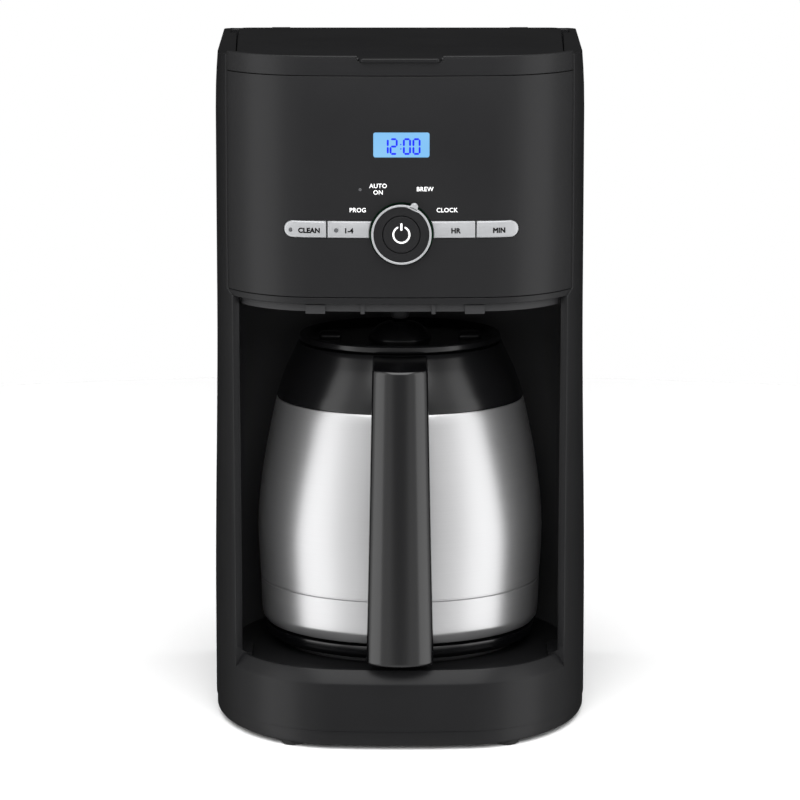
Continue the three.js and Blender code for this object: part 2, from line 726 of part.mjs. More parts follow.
const carafe = new THREE.Group();
carafe.position.y = AXIS_Y;
carafe.add(
  piece('carafe_shell', carafeShell(), STEEL),
  piece('carafe_liner', carafeLiner(), LINER_STEEL),
  piece('carafe_collar', carafeCollar(), GLOSS_BLACK),
  piece('carafe_base_ring', carafeBaseRing(), GLOSS_BLACK),
  piece('carafe_lid', carafeLid(), GLOSS_BLACK),
  piece('carafe_lid_seal', carafeLidSeal(), SILICONE),
  piece('carafe_flow_tube', carafeFlowTube(), NATURAL_PLASTIC),
);
machine.add(carafe, piece('carafe_handle', carafeHandle(), GLOSS_BLACK));

export default group;
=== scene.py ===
"""Drip coffee maker with a steel thermal carafe: the looks of every piece, built around its CAD frame."""

import json
import math

import bmesh
import bpy
from mathutils import Matrix, Vector
from mathutils.geometry import interpolate_bezier

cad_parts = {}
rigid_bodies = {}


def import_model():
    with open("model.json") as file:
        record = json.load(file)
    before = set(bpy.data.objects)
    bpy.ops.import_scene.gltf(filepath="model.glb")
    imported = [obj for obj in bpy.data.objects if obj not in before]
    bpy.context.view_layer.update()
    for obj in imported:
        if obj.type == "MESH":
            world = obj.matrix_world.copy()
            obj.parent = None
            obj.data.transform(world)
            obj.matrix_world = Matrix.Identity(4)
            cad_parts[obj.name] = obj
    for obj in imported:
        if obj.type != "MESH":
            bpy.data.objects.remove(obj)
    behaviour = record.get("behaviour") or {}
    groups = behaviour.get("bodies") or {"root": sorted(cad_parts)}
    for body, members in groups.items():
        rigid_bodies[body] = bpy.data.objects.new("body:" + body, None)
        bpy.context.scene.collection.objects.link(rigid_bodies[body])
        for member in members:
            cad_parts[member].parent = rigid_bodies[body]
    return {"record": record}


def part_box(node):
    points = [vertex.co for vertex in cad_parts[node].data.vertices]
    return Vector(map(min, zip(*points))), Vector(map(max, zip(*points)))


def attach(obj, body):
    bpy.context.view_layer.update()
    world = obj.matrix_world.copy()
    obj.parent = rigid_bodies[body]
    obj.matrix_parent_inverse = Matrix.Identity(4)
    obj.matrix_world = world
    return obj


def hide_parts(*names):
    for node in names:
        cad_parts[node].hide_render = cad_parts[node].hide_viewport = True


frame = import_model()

SCENE = bpy.context.scene
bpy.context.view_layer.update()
MM = 0.001

# ---------------- places taken from the frame

HOUSING_LOW, HOUSING_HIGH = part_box("main_housing")
PANEL_LOW, PANEL_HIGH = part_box("control_panel")
CHIN_LOW, CHIN_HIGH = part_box("chin_trim")
TOP_LOW, TOP_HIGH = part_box("top_trim")
POWER_LOW, POWER_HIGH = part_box("power_button")
BUTTON_LOW, BUTTON_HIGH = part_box("hour_button")
LENS_LOW, LENS_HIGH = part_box("display_lens")
SHELL_LOW, SHELL_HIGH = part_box("carafe_shell")
CARAFE_Y = (SHELL_LOW.y + SHELL_HIGH.y) / 2
DIAL_X = (POWER_LOW.x + POWER_HIGH.x) / 2
DIAL_Z = (POWER_LOW.z + POWER_HIGH.z) / 2
MIDDLE_Y = 5.25 * MM             # the housing stands this far behind the frame's origin
BREW_Y = CARAFE_Y - 1.5 * MM     # the basket, the filter and the spray plate share this axis
RING_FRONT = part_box("selector_ring")[0].y - MIDDLE_Y
POWER_FRONT = POWER_LOW.y - MIDDLE_Y

# Plans of the head and the base, seen from above: straight sides, wide elliptical front corners.
HEAD = {
    "front": -113 * MM, "half": 95.8 * MM, "back_half": 99.2 * MM, "back": 112.4 * MM,
    "corner_x": 44 * MM, "corner_y": 72 * MM,
}
BASE = {
    "front": -114.4 * MM, "half": 99.0 * MM, "back_half": 100.3 * MM, "back": 112.4 * MM,
    "corner_x": 36 * MM, "corner_y": 103 * MM,
}
FRONT = HEAD["front"]
FRONT_BOW = 1.9 * MM             # the front's middle stands this far before its ends
BACK_RADIUS = 7 * MM
SHARPEST = 1 * MM                # a corner that is moved inwards keeps at least this radius
PILLAR_X = 86 * MM               # inner edge of the pillars beside the bay
SEAM_X = 89 * MM                 # seam between the head's front and the side walls
ROUND = 0.5523                   # handle length that makes a cubic curve a quarter ellipse

# ---------------- sizes of the visible shapes

BLEND_LOW = 60 * MM              # between these heights the outline changes from base to head
BLEND_HIGH = 226 * MM
FLOOR_TOP = 38.5 * MM            # bay floor
SKIRT_TOP = 34 * MM              # the base's upright wall ends here, and its sloped rim begins
WALL = 4 * MM
SKIN = 3 * MM                    # thickness of the head's front bands
SEAM_GAP = 0.25 * MM
HEAD_BOTTOM = CHIN_LOW.z
LEAN_HEIGHT = 30 * MM            # the side walls lean in over this much of their top
LEAN = 1.3 * MM
BAY_RADIUS = 84.5 * MM           # back of the bay
BAY_HALF = 88.6 * MM             # its sides stand this far out, behind the pillars
TAB_HALF = 21 * MM
LID_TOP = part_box("lid")[1].z - 1.7 * MM
LID_FRONT_HALF = 83.4 * MM       # the lid's straight sides run between the rails on the side walls
LID_BACK_HALF = 89.4 * MM
LID_BACK = 103.3 * MM
LID_GAP = 2.9 * MM               # the lid's front lies this far behind the band's face
HINGE_X = 66 * MM
HINGE_Y = 103.5 * MM
HINGE_Z = 354.5 * MM
VALVE_TRAVEL = 3.2 * MM          # room for the drip stop to lift
WINDOW_LOW = Vector((90, 78, 90)) * MM        # opening for the level window in the right side
WINDOW_HIGH = Vector((110, 92, 300)) * MM
CORD_X, CORD_Z = 60 * MM, 24 * MM             # the cord leaves through a round hole in the back
SHARP_ANGLE = math.radians(32)   # edges that turn by more than this are drawn sharp

DIAL_RADIUS = 15.2 * MM
DIAL_WELL = DIAL_RADIUS + 0.9 * MM
RING_WIDTH = 1.1 * MM
POINTER_TURN = 0.4311            # the pointer's place at the brew mark, clockwise from the top
KEY_PROUD = 0.85 * MM            # the keys' faces stand this far in front of the panel
BUTTON_H = BUTTON_HIGH.z - BUTTON_LOW.z - 1 * MM
BUTTON_Z = BUTTON_HIGH.z - BUTTON_H / 2
LENS_Z = (LENS_LOW.z + LENS_HIGH.z) / 2
LENS_W = LENS_HIGH.x - LENS_LOW.x - 1.2 * MM
LENS_H = LENS_HIGH.z - LENS_LOW.z - 0.5 * MM
LENS_FRONT = FRONT + 0.25 * MM
DIGIT_W = 3.1 * MM
DIGIT_H = 7.4 * MM
STROKE = 1.0 * MM                # thickness of a digit's bars

# ---------------- materials


def colour(code):
    """Linear colour of an sRGB hex code."""
    parts = [int(code[i:i + 2], 16) / 255 for i in (1, 3, 5)]
    linear = [c / 12.92 if c <= 0.04045 else ((c + 0.055) / 1.055) ** 2.4 for c in parts]
    return (*linear, 1)


def add_node(tree, kind, inputs=None, **settings):
    """Adds a node: settings are its options, and inputs are values, or outputs to link from."""
    made = tree.nodes.new("ShaderNode" + kind)
    for name, value in settings.items():
        setattr(made, name, value)
    for socket, value in (inputs or {}).items():
        if isinstance(value, bpy.types.NodeSocket):
            tree.links.new(value, made.inputs[socket])
        else:
            made.inputs[socket].default_value = value
    return made


def surface(name, **values):
    """A material with one principled shader whose sockets have these values."""
    made = bpy.data.materials.new(name)
    made.use_nodes = True
    shader = made.node_tree.nodes["Principled BSDF"]
    for socket, value in values.items():
        shader.inputs[socket.replace("_", " ")].default_value = value
    return made, made.node_tree, shader


def noise(tree, place, size, detail):
    """Clouds of about this size, as values between 0 and 1."""
    made = add_node(tree, "TexNoise", {"Vector": place, "Scale": 1 / size, "Detail": detail})
    return made.outputs["Fac"]


def tint(tree, factor, dark, light, socket):
    """Gives a socket a mix of two shades."""
    shade = add_node(tree, "Mix", {"Factor": factor}, data_type="RGBA")
    shade.inputs["A"].default_value = colour(dark)
    shade.inputs["B"].default_value = colour(light)
    tree.links.new(shade.outputs["Result"], socket)


def vary_gloss(tree, factor, rough, spread, shader):
    """Lets the roughness vary a little on both sides of its middle."""
    made = add_node(tree, "MapRange", {
        "Value": factor, "To Min": rough - spread, "To Max": rough + spread,
    })
    tree.links.new(made.outputs["Result"], shader.inputs["Roughness"])


def emboss(tree, height, depth, strength, shader):
    """Raises and lowers the surface a little, for the light only."""
    made = add_node(tree, "Bump", {"Height": height, "Distance": depth, "Strength": strength})
    tree.links.new(made.outputs["Normal"], shader.inputs["Normal"])


def moulded(name, dark, light, rough, grain=0.5 * MM, depth=0.02 * MM, spread=0.05, **values):
    """Moulded plastic: two close shades in slow clouds, a fine grain, and slightly uneven gloss."""
    made, tree, shader = surface(name, **values)
    place = add_node(tree, "TexCoord").outputs["Object"]
    clouds = noise(tree, place, 40 * MM, 3)
    tint(tree, clouds, dark, light, shader.inputs["Base Color"])
    vary_gloss(tree, clouds, rough, spread, shader)
    emboss(tree, noise(tree, place, grain, 2), depth, 0.6, shader)
    return made


def brushed_steel(name, axis_y, dark, light, rough):
    """Stainless steel brushed round its body: fine rings, one above the other, that stretch every
    highlight up and down the wall, with a little matt haze over them."""
    made, tree, shader = surface(name, Metallic=0.88, Anisotropic=0.7)
    place = add_node(tree, "TexCoord").outputs["Object"]
    centred = add_node(tree, "Mapping", {"Vector": place, "Location": (0, -axis_y, 0)})
    tangent = add_node(tree, "Tangent", direction_type="RADIAL", axis="Z")
    tree.links.new(tangent.outputs["Tangent"], shader.inputs["Tangent"])
    split = add_node(tree, "SeparateXYZ", {"Vector": centred.outputs["Vector"]})
    turn = add_node(tree, "Math", {0: split.outputs["Y"], 1: split.outputs["X"]}, operation="ARCTAN2")
    lift = add_node(tree, "Math", {0: split.outputs["Z"], 1: 1 / (0.5 * MM)}, operation="MULTIPLY")
    band = add_node(tree, "CombineXYZ", {"X": turn.outputs["Value"], "Z": lift.outputs["Value"]})
    lines = noise(tree, band.outputs["Vector"], 1.0, 4)
    tint(tree, lines, dark, light, shader.inputs["Base Color"])
    vary_gloss(tree, lines, rough, 0.02, shader)
    emboss(tree, lines, 0.001 * MM, 0.1, shader)
    return made


def lit_display():
    """Backlit liquid crystal display: an even light blue glow, a little paler in soft random patches."""
    made, tree, shader = surface("backlit_display_blue", Roughness=0.3, Specular_IOR_Level=0.1,
                                 Emission_Strength=0.92)
    place = add_node(tree, "TexCoord").outputs["Object"]
    glow = noise(tree, place, 25 * MM, 1)
    tint(tree, glow, "#7cc2fb", "#9cd6ff", shader.inputs["Emission Color"])
    shader.inputs["Base Color"].default_value = colour("#10181f")
    return made


def woven_metal():
    """Gold-coloured steel mesh of the filter: crossed wires, drawn coarse enough to be seen."""
    made, tree, shader = surface("gold_toned_steel_mesh", Metallic=1.0, Roughness=0.35)
    place = add_node(tree, "TexCoord").outputs["Object"]
    pitch = {"Vector": place, "Scale": 1 / (3 * MM)}
    wires = add_node(tree, "TexWave", pitch, bands_direction="Z")
    across = add_node(tree, "TexWave", pitch, bands_direction="X")
    mesh = add_node(tree, "Math", {0: wires.outputs["Fac"], 1: across.outputs["Fac"]},
                    operation="MULTIPLY")
    tint(tree, mesh.outputs["Value"], "#5a431a", "#d9b25a", shader.inputs["Base Color"])
    emboss(tree, mesh.outputs["Value"], 0.15 * MM, 0.8, shader)
    return made


# Fine satin grain of a textured mould: near black, with soft broad highlights.
SATIN_ABS = moulded("satin_moulded_abs", "#101011", "#141415", 0.36, Specular_IOR_Level=0.22)
# The panel's smoother satin, a shade lighter than the housing.
PANEL_ABS = moulded("smooth_satin_abs", "#131314", "#171718", 0.36, grain=0.3 * MM, depth=0.008 * MM,
                    Specular_IOR_Level=0.24)
# Unlit inner walls: coarser grain and little gloss.
DARK_PP = moulded("matt_moulded_pp", "#262627", "#2c2c2d", 0.5, grain=0.8 * MM, Specular_IOR_Level=0.25)
# Smooth wall of the bay: it mirrors the carafe and the light in front of it softly. Its black is painted
# several shades lighter than the housing's, as painted light in the shaded bay.
BAY_ABS_PAINTED_LIGHTER = moulded("smooth_moulded_abs_painted_lighter", "#2e2e2f", "#343435", 0.4, depth=0.008 * MM)
# Polished mould: deep black with clear reflections.
GLOSS_ABS = moulded("polished_black_abs", "#030304", "#050506", 0.2, grain=3 * MM, depth=0.004 * MM,
                    spread=0.02, Specular_IOR_Level=0.65)
# The same black on the carafe's shoulder and lid, a little duller.
SHOULDER_PP = moulded("semi_gloss_black_pp", "#0a0a0b", "#0d0d0e", 0.26, grain=1.5 * MM, depth=0.004 * MM,
                      spread=0.03)
# Silver lacquer over plastic: pale grey with fine metallic flakes.
SILVER_LACQUER = moulded("silver_lacquered_abs", "#9a9b9d", "#a7a8aa", 0.3, grain=0.25 * MM,
                         depth=0.006 * MM, Metallic=0.5)
# Flat white marks on the panel, with the ink's soft edge of gloss.
WHITE_INK = moulded("white_pad_printed_ink", "#dcdcdc", "#e6e6e6", 0.5, depth=0.004 * MM)
# Dull black marks on the silver keys.
BLACK_INK = moulded("black_pad_printed_ink", "#050505", "#080808", 0.6, depth=0.004 * MM,
                    Specular_IOR_Level=0.1)
# Smoky glossy lens of a lamp that is off: a dark dot with a small glint.
DARK_LAMP = moulded("unlit_lamp_lens", "#3a3b3d", "#4a4b4d", 0.2, depth=0.004 * MM)
# Saturated blue bars that stay dark in front of the light.
DISPLAY_INK = moulded("dark_blue_crystal_segments", "#0b16b4", "#1220c4", 0.4, depth=0.002 * MM,
                      Specular_IOR_Level=0.1)
# Dull, slightly rough black, with no highlight.
RUBBER = moulded("matt_black_rubber", "#101010", "#171717", 0.85, grain=0.6 * MM, depth=0.03 * MM)
# Hoses and seals: milky white, with light inside its edges.
SILICONE = moulded("milky_silicone", "#cfccc4", "#dedbd3", 0.55, Subsurface_Weight=0.1)
# Unpigmented plastic: cloudy off-white.
NATURAL_PP = moulded("natural_polypropylene", "#c2c3bf", "#d2d3cf", 0.45, Subsurface_Weight=0.15)
# Lacquered green board.
BOARD = moulded("green_solder_mask", "#174a2b", "#206239", 0.45, grain=1.2 * MM)
# Screws, pins and the spring: pale grey metal with a satin plating.
ZINC = moulded("zinc_plated_steel", "#84888c", "#999da1", 0.38, Metallic=1.0)
# The heater's casting: a coarse grey skin.
CAST_ALUMINIUM = moulded("cast_aluminium", "#8f9194", "#a4a6a9", 0.45, depth=0.04 * MM, Metallic=1.0)
# Level window: greyish, and partly see-through.
SMOKED_CLEAR = moulded("clear_styrene_window", "#7d878b", "#8b959a", 0.12, depth=0.004 * MM,
                       Transmission_Weight=0.6)
# The carafe's liner: smooth bright metal.
BRIGHT_STEEL = moulded("electropolished_steel", "#a8aaac", "#b8babc", 0.22, Metallic=1.0)
# The carafe's body.
STEEL = brushed_steel("brushed_stainless_steel", CARAFE_Y, "#c0c0c1", "#c8c8c9", 0.3)
DISPLAY = lit_display()
GOLD_MESH = woven_metal()

# ---------------- mesh making


def face_out(bm):
    """Turns all faces to the outside."""
    bmesh.ops.recalc_face_normals(bm, faces=bm.faces)


def mesh_of(bm, name="part"):
    """Turns a bmesh into a mesh."""
    mesh = bpy.data.meshes.new(name)
    bm.to_mesh(mesh)
    bm.free()
    return mesh


def placed(name, data):
    """A new object in the scene."""
    made = bpy.data.objects.new(name, data)
    SCENE.collection.objects.link(made)
    return made


def finish(name, bm, material, body, slot, *nodes):
    """Turns a bmesh into a finished piece that rides on a body and stands for CAD nodes."""
    bmesh.ops.remove_doubles(bm, verts=bm.verts, dist=0.002 * MM)
    face_out(bm)
    mesh = mesh_of(bm, name)
    mesh.materials.append(material)
    mesh.shade_smooth()
    mesh.set_sharp_from_angle(angle=SHARP_ANGLE)
    made = placed(name, mesh)
    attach(made, body)
    if nodes:
        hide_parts(*nodes)
    return made


def wire(bm, points, closed=False):
    """A chain of edges through points."""
    verts = [bm.verts.new(Vector(p).to_3d()) for p in points]
    ends = verts[1:] + verts[:1] if closed else verts[1:]
    return verts, [bm.edges.new(pair) for pair in zip(verts, ends)]


def skin(levels, closed=True):
    """A surface through chains of points, one for each (points, height)."""
    bm = bmesh.new()
    chains = [wire(bm, [(p[0], p[1], z) for p in points], closed)[1] for points, z in levels]
    for low, high in zip(chains, chains[1:]):
        bmesh.ops.bridge_loops(bm, edges=low + high)
    return bm, chains


def lofted(levels):
    """A closed solid through level outlines, with its ends filled in."""
    bm, chains = skin(levels)
    for chain in (chains[0], chains[-1]):
        bmesh.ops.contextual_create(bm, geom=chain)
    face_out(bm)
    return bm


def prism(points, low, high):
    """An upright solid on a closed plan."""
    return lofted([(points, low), (points, high)])


def thicken(bm, thickness):
    """Gives a surface of revolution or a wall its thickness, towards the machine's middle."""
    face_out(bm)
    outward = sum(f.calc_area() * f.normal.xy.dot(f.calc_center_median().xy) for f in bm.faces)
    if outward < 0:
        bmesh.ops.reverse_faces(bm, faces=bm.faces)
    bmesh.ops.solidify(bm, geom=bm.faces, thickness=thickness)
    return bm


def turned(profile, x=0.0, y=0.0, steps=128):
    """A body of revolution about an upright axis, from (radius, height) pairs."""
    bm = bmesh.new()
    verts, edges = wire(bm, [(x + r, y, z) for r, z in profile])
    bmesh.ops.spin(bm, geom=verts + edges, cent=(x, y, 0), axis=(0, 0, 1), angle=math.tau,
                   steps=steps, use_merge=True)
    bmesh.ops.remove_doubles(bm, verts=bm.verts, dist=0.004 * MM)
    face_out(bm)
    return bm


def eased(profile, radius, steps=4):
    """A profile with each of its inner corners turned into a small curve."""
    points = [Vector(p) for p in profile]
    smooth = [points[0]]
    for before, corner, after in zip(points, points[1:], points[2:]):
        reach = min(radius, (before - corner).length * 0.45, (after - corner).length * 0.45)
        start = corner + (before - corner).normalized() * reach
        end = corner + (after - corner).normalized() * reach
        for i in range(steps + 1):
            t = i / steps
            smooth.append(start.lerp(corner, t).lerp(corner.lerp(end, t), t))
    return smooth + [points[-1]]


def lathe(profile, soft=0.0, x=0.0, y=CARAFE_Y, steps=128):
    """A body of revolution whose profile and corner softness are in millimetres."""
    points = eased(profile, soft) if soft else profile
    return turned([(r * MM, z * MM) for r, z in points], x, y, steps)


def round_edges(bm, width, segments=3, angle=35, choose=lambda edge: True):
    """Rounds the edges that are sharper than an angle."""
    limit = math.radians(angle)
    sharp = [e for e in bm.edges if len(e.link_faces) == 2 and e.calc_face_angle(0) > limit and choose(e)]
    bmesh.ops.bevel(bm, geom=sharp, offset=width, offset_type="OFFSET", segments=segments, profile=0.5,
                    affect="EDGES", clamp_overlap=True, material=-1)
    return bm


FACING = Matrix.Rotation(math.radians(90), 4, "X")     # turns an upright shape to face the front


def facing_prism(points, front, back):
    """A solid on an outline drawn in X and Z, between two depths along Y."""
    bm = prism(points, -back, -front)
    bmesh.ops.transform(bm, matrix=FACING, verts=bm.verts)
    return bm


def facing_turned(profile, x, z, steps=96):
    """A body of revolution about a line along Y, from (radius, Y) pairs."""
    bm = turned([(r, -y) for r, y in profile], steps=steps)
    bmesh.ops.transform(bm, matrix=Matrix.Translation((x, 0, z)) @ FACING, verts=bm.verts)
    return bm


def joined(*parts):
    """Several bmeshes as one."""
    whole = bmesh.new()
    for part in parts:
        mesh = mesh_of(part)
        whole.from_mesh(mesh)
        bpy.data.meshes.remove(mesh)
    return whole


def cut(bm, *tools):
    """Cuts tools out of a body."""
    objects = []
    for shape in (bm, *tools):
        face_out(shape)
        objects.append(placed("part", mesh_of(shape)))
    body, *cutters = objects
    for cutter in cutters:
        body.modifiers.new("cut", "BOOLEAN").object = cutter
    shape = body.evaluated_get(bpy.context.evaluated_depsgraph_get())
    result = bmesh.new()
    result.from_mesh(shape.to_mesh())
    for each in objects:
        bpy.data.meshes.remove(each.data)
    return result


def arc(x, z, radius, start, end, steps=16):
    """Points of an arc, with its ends in degrees from +X towards +Z."""
    angles = [math.radians(start + (end - start) * i / steps) for i in range(steps + 1)]
    return [Vector((x + radius * math.cos(a), z + radius * math.sin(a))) for a in angles]


def rectangle(x, z, width, height, radius=0.0):
    """A rectangle, whose corners may be round."""
    right, top = width / 2 - radius, height / 2 - radius
    corners = [(right, top, 0), (-right, top, 90), (-right, -top, 180), (right, -top, 270)]
    if not radius:
        return [Vector((x + dx, z + dz)) for dx, dz, _ in corners]
    return [p for dx, dz, turn in corners for p in arc(x + dx, z + dz, radius, turn, turn + 90, 5)]


def sliced(bm, places):
    """Cuts a piece's faces at these distances to the side, so that it can bend there."""
    for x in places:
        geometry = bm.verts[:] + bm.edges[:] + bm.faces[:]
        bmesh.ops.bisect_plane(bm, geom=geometry, plane_co=(x, 0, 0), plane_no=(1, 0, 0))


def block(low, high):
    """A box between two corners."""
    bm = bmesh.new()
    size = Vector(high) - Vector(low)
    place = Matrix.Translation((Vector(low) + Vector(high)) / 2) @ Matrix.Diagonal(size).to_4x4()
    bmesh.ops.create_cube(bm, size=1, matrix=place)
    return bm


# ---------------- plan of the machine


def corner_curve(plan, inset=0.0):
    """Control points of the right front corner, from the bowed front to the straight side."""
    half, front = plan["half"] - inset, plan["front"] + FRONT_BOW + inset
    side = plan["front"] + plan["corner_y"]
    wide = (half - plan["corner_x"]) * ROUND
    slope = 2 * FRONT_BOW / plan["corner_x"]
    return [
        Vector((plan["corner_x"], front)), Vector((plan["corner_x"] + wide, front + slope * wide)),
        Vector((half, side - (side - front) * ROUND)), Vector((half, side)),
    ]


def split_at(curve, x):
    """The curve's two parts, before and after it passes x."""
    low, high = 0.0, 1.0
    for _ in range(30):
        t = (low + high) / 2
        a, b, c = (p.lerp(q, t) for p, q in zip(curve, curve[1:]))
        d, e = a.lerp(b, t), b.lerp(c, t)
        middle = d.lerp(e, t)
        low, high = (t, high) if middle.x < x else (low, t)
    return [curve[0], a, d, middle], [middle, e, c, curve[3]]


def sample(curve, count):
    """Points along a cubic curve."""
    return [p.to_2d() for p in interpolate_bezier(*curve, count)]


def mirrored(points):
    """The same points on the other side, in reverse order."""
    return [Vector((-p.x, p.y)) for p in reversed(points)]


def front_path(plan, seam, inset=0.0, corner=22, middle=15):
    """The front of a plan from its left seam to its right one."""
    right = sample(split_at(corner_curve(plan, inset), seam)[0], corner)
    front = plan["front"] + inset
    bow = []
    for i in range(1, middle):
        x = plan["corner_x"] * (2 * i / middle - 1)
        bow.append(Vector((x, front + FRONT_BOW * (x / plan["corner_x"]) ** 2)))
    return mirrored(right) + bow + right


def wall_path(plan, seam, inset=0.0):
    """The rest of the plan, from the right seam round the back to the left one."""
    right = sample(split_at(corner_curve(plan, inset), seam)[1], 16)
    back, half = plan["back"] - inset, plan["back_half"] - inset
    radius = max(BACK_RADIUS - inset, SHARPEST)
    side = [right[-1].lerp(Vector((half, back - radius)), i / 5) for i in range(1, 5)]
    corner = sample([
        Vector((half, back - radius)), Vector((half, back - radius * (1 - ROUND))),
        Vector((half - radius * (1 - ROUND), back)), Vector((half - radius, back)),
    ], 10)
    right = right + side + corner
    return right + mirrored(right)


def whole_path(plan, seam, inset=0.0):
    """The closed outline of a plan."""
    return front_path(plan, seam, inset) + wall_path(plan, seam, inset)[1:-1]


def blended(z, seam, inset=0.0):
    """The machine's outline at a height: the base's, then an even change to the head's beside the bay."""
    share = min(max((z - BLEND_LOW) / (BLEND_HIGH - BLEND_LOW), 0), 1)
    share = share * share * (3 - 2 * share)
    low, high = whole_path(BASE, seam, inset), whole_path(HEAD, seam, inset)
    return [a.lerp(b, share) for a, b in zip(low, high)]


def front_sag(x):
    """How far the head's front lies behind its middle, at a distance to the side."""
    if abs(x) <= HEAD["corner_x"]:
        return FRONT_BOW * (x / HEAD["corner_x"]) ** 2
    path = sample(corner_curve(HEAD), 200)
    nearest = min(path, key=lambda p: abs(p.x - abs(x)))
    return nearest.y - FRONT


def follow_front(bm, slices=5 * MM):
    """Bends a piece that was made flat so that it follows the head's bowed front."""
    reach = max(abs(v.co.x) for v in bm.verts)
    sliced(bm, [i * slices - reach for i in range(1, int(2 * reach / slices))])
    for vert in bm.verts:
        vert.co.y += front_sag(vert.co.x)
    return bm


def to_machine(bm):
    """Moves a piece from the housing's own middle to its place in the frame."""
    bmesh.ops.translate(bm, verts=bm.verts, vec=(0, MIDDLE_Y, 0))
    return bm


# ---------------- housing


def top_lean(z):
    """The side walls lean in a little near the top."""
    return LEAN * max(0, (z - (HOUSING_HIGH.z - LEAN_HEIGHT)) / LEAN_HEIGHT) ** 2


def housing_shell():
    """One wall all round: open to the bay between the pillars, and to the control panel above."""
    bottom, top = HOUSING_LOW.z, HOUSING_HIGH.z
    heights = [SKIRT_TOP, 45 * MM] + [(60 + 16.6 * i) * MM for i in range(11)] + [HEAD_BOTTOM]
    levels = [(blended(z, PILLAR_X), z) for z in [bottom, 20 * MM] + heights]
    notch = [CHIN_HIGH.z, 260 * MM, 300 * MM, top - LEAN_HEIGHT, top - 18 * MM, top - 9 * MM, top]
    levels += [(blended(z, SEAM_X, top_lean(z)), z) for z in notch]
    bm, _ = skin(levels)
    edge = SEAM_X + 0.1 * MM
    opening = [
        f for f in bm.faces
        if f.calc_center_median().z > SKIRT_TOP and f.calc_center_median().y < -50 * MM
        and max(abs(v.co.x) for v in f.verts) < edge
        and all(abs(v.co.x) < PILLAR_X + 0.1 * MM or v.co.z > HEAD_BOTTOM for v in f.verts)
    ]
    bmesh.ops.delete(bm, geom=opening, context="FACES")
    thicken(bm, WALL)
    round_edges(bm, 0.6 * MM, 3, 50, lambda e: min(v.co.z for v in e.verts) > SKIRT_TOP + 1 * MM)
    window = block(WINDOW_LOW, WINDOW_HIGH)
    round_edges(window, 3 * MM, 5, choose=lambda e: abs(e.verts[0].co.x - e.verts[1].co.x) > 0.01)
    cord = [(0, 100 * MM), (7 * MM, 100 * MM), (7 * MM, 120 * MM), (0, 120 * MM)]
    gland_hole = facing_turned(cord, CORD_X, CORD_Z, 48)
    return to_machine(cut(bm, window, gland_hole))


def base_deck():
    """Sloped rim of the base, and the bay floor that is sunk inside it."""
    steps = [
        (0.02, 34.0), (0.02, 34.3), (0.15, 34.8), (0.4, 35.3), (3.6, 41.0), (4.2, 41.5), (5.9, 41.45),
        (6.6, 41.1), (6.8, 39.1), (7.4, 38.5),
    ]
    levels = [(whole_path(BASE, PILLAR_X, inset * MM), z * MM) for inset, z in steps]
    return to_machine(lofted(levels))


def bay_wall():
    """U-shaped inner wall of the bay: it widens a little behind the pillars' front edges."""
    centre, radius = CARAFE_Y - MIDDLE_Y, BAY_RADIUS
    heights = [z * MM for z in (60, 100, 140, 180, 205)]
    levels = []
    for z in [FLOOR_TOP - 0.3 * MM] + heights + [HEAD_BOTTOM + 0.5 * MM]:
        outline = blended(z, PILLAR_X)
        edge = min((p for p in outline if abs(p.x - PILLAR_X) < 0.1 * MM), key=lambda p: p.y)
        right = [Vector((PILLAR_X + 0.2 * MM, edge.y + 2.5 * MM)), Vector((88.0 * MM, edge.y + 7 * MM)),
                 Vector((BAY_HALF, edge.y + 14 * MM)), Vector((BAY_HALF, edge.y + 34 * MM))]
        back = [Vector((p.x * BAY_HALF / radius, p.y)) for p in arc(0, centre, radius, 0, 180, 48)]
        levels.append((right + back + mirrored(right), z))
    bm, _ = skin(levels, closed=False)
    face_out(bm)
    bmesh.ops.solidify(bm, geom=bm.faces, thickness=0.8 * MM)
    return to_machine(bm)


def head_underside():
    """Floor of the head with the basket's round outlet, and the stiffening lip behind the chin."""
    plate = lofted([(whole_path(HEAD, SEAM_X, 4.8 * MM), z) for z in (HEAD_BOTTOM, HEAD_BOTTOM + 3 * MM)])
    centre = CARAFE_Y - MIDDLE_Y
    outlet = turned([(0, 0.2), (16 * MM, 0.2), (16 * MM, 0.3), (0, 0.3)], 0, centre, 64)
    lip, _ = skin([(front_path(HEAD, 82 * MM, 5.5 * MM), z) for z in (227.6 * MM, HEAD_BOTTOM + 1 * MM)],
                  closed=False)
    thicken(lip, 2 * MM)
    round_edges(lip, 0.4 * MM, 2, 50)
    tabs = [
        follow_front(block((x0 * MM, -109 * MM, 226.6 * MM), (x1 * MM, -101 * MM, 231 * MM)))
        for x0, x1 in ((-48, -38), (33, 43))
    ]
    bars = [
        follow_front(block((x0 * MM, -108.8 * MM, 226.6 * MM), (x1 * MM, -99 * MM, 233 * MM)))
        for x0, x1 in ((-20, -18), (16, 18))
    ]
    return to_machine(joined(cut(plate, outlet), lip, *tabs, *bars))


def bay_corners():
    """Curved corners between the pillars and the parts above and below them."""
    low, high, radius, rise = FLOOR_TOP + 1 * MM, HEAD_BOTTOM + 1 * MM, 9 * MM, 5 * MM
    side = PILLAR_X + 0.6 * MM
    lower = [Vector((side, low)), *arc(side - radius, low + 2 * MM + radius, radius, 0, -90, 10),
             Vector((side - radius, low))]
    upper = [Vector((side, high)), *arc(side - rise, high - 1.5 * MM - rise, rise, 0, 90, 10),
             Vector((side - rise, high))]
    parts = []
    for points, front, back in ((lower, -71 * MM, -45 * MM), (upper, -80 * MM, -60 * MM)):
        parts.append(facing_prism(points, front, back))
        parts.append(facing_prism(mirrored(points), front, back))
    return to_machine(joined(*parts))


def bottom_plate():
    """Lower band of the base, a little smaller than the wall above it."""
    steps = [(1.8, 2.2), (0.9, 2.7), (0.5, 3.6), (0.5, 9.8)]
    return to_machine(lofted([(whole_path(BASE, PILLAR_X, i * MM), z * MM) for i, z in steps]))


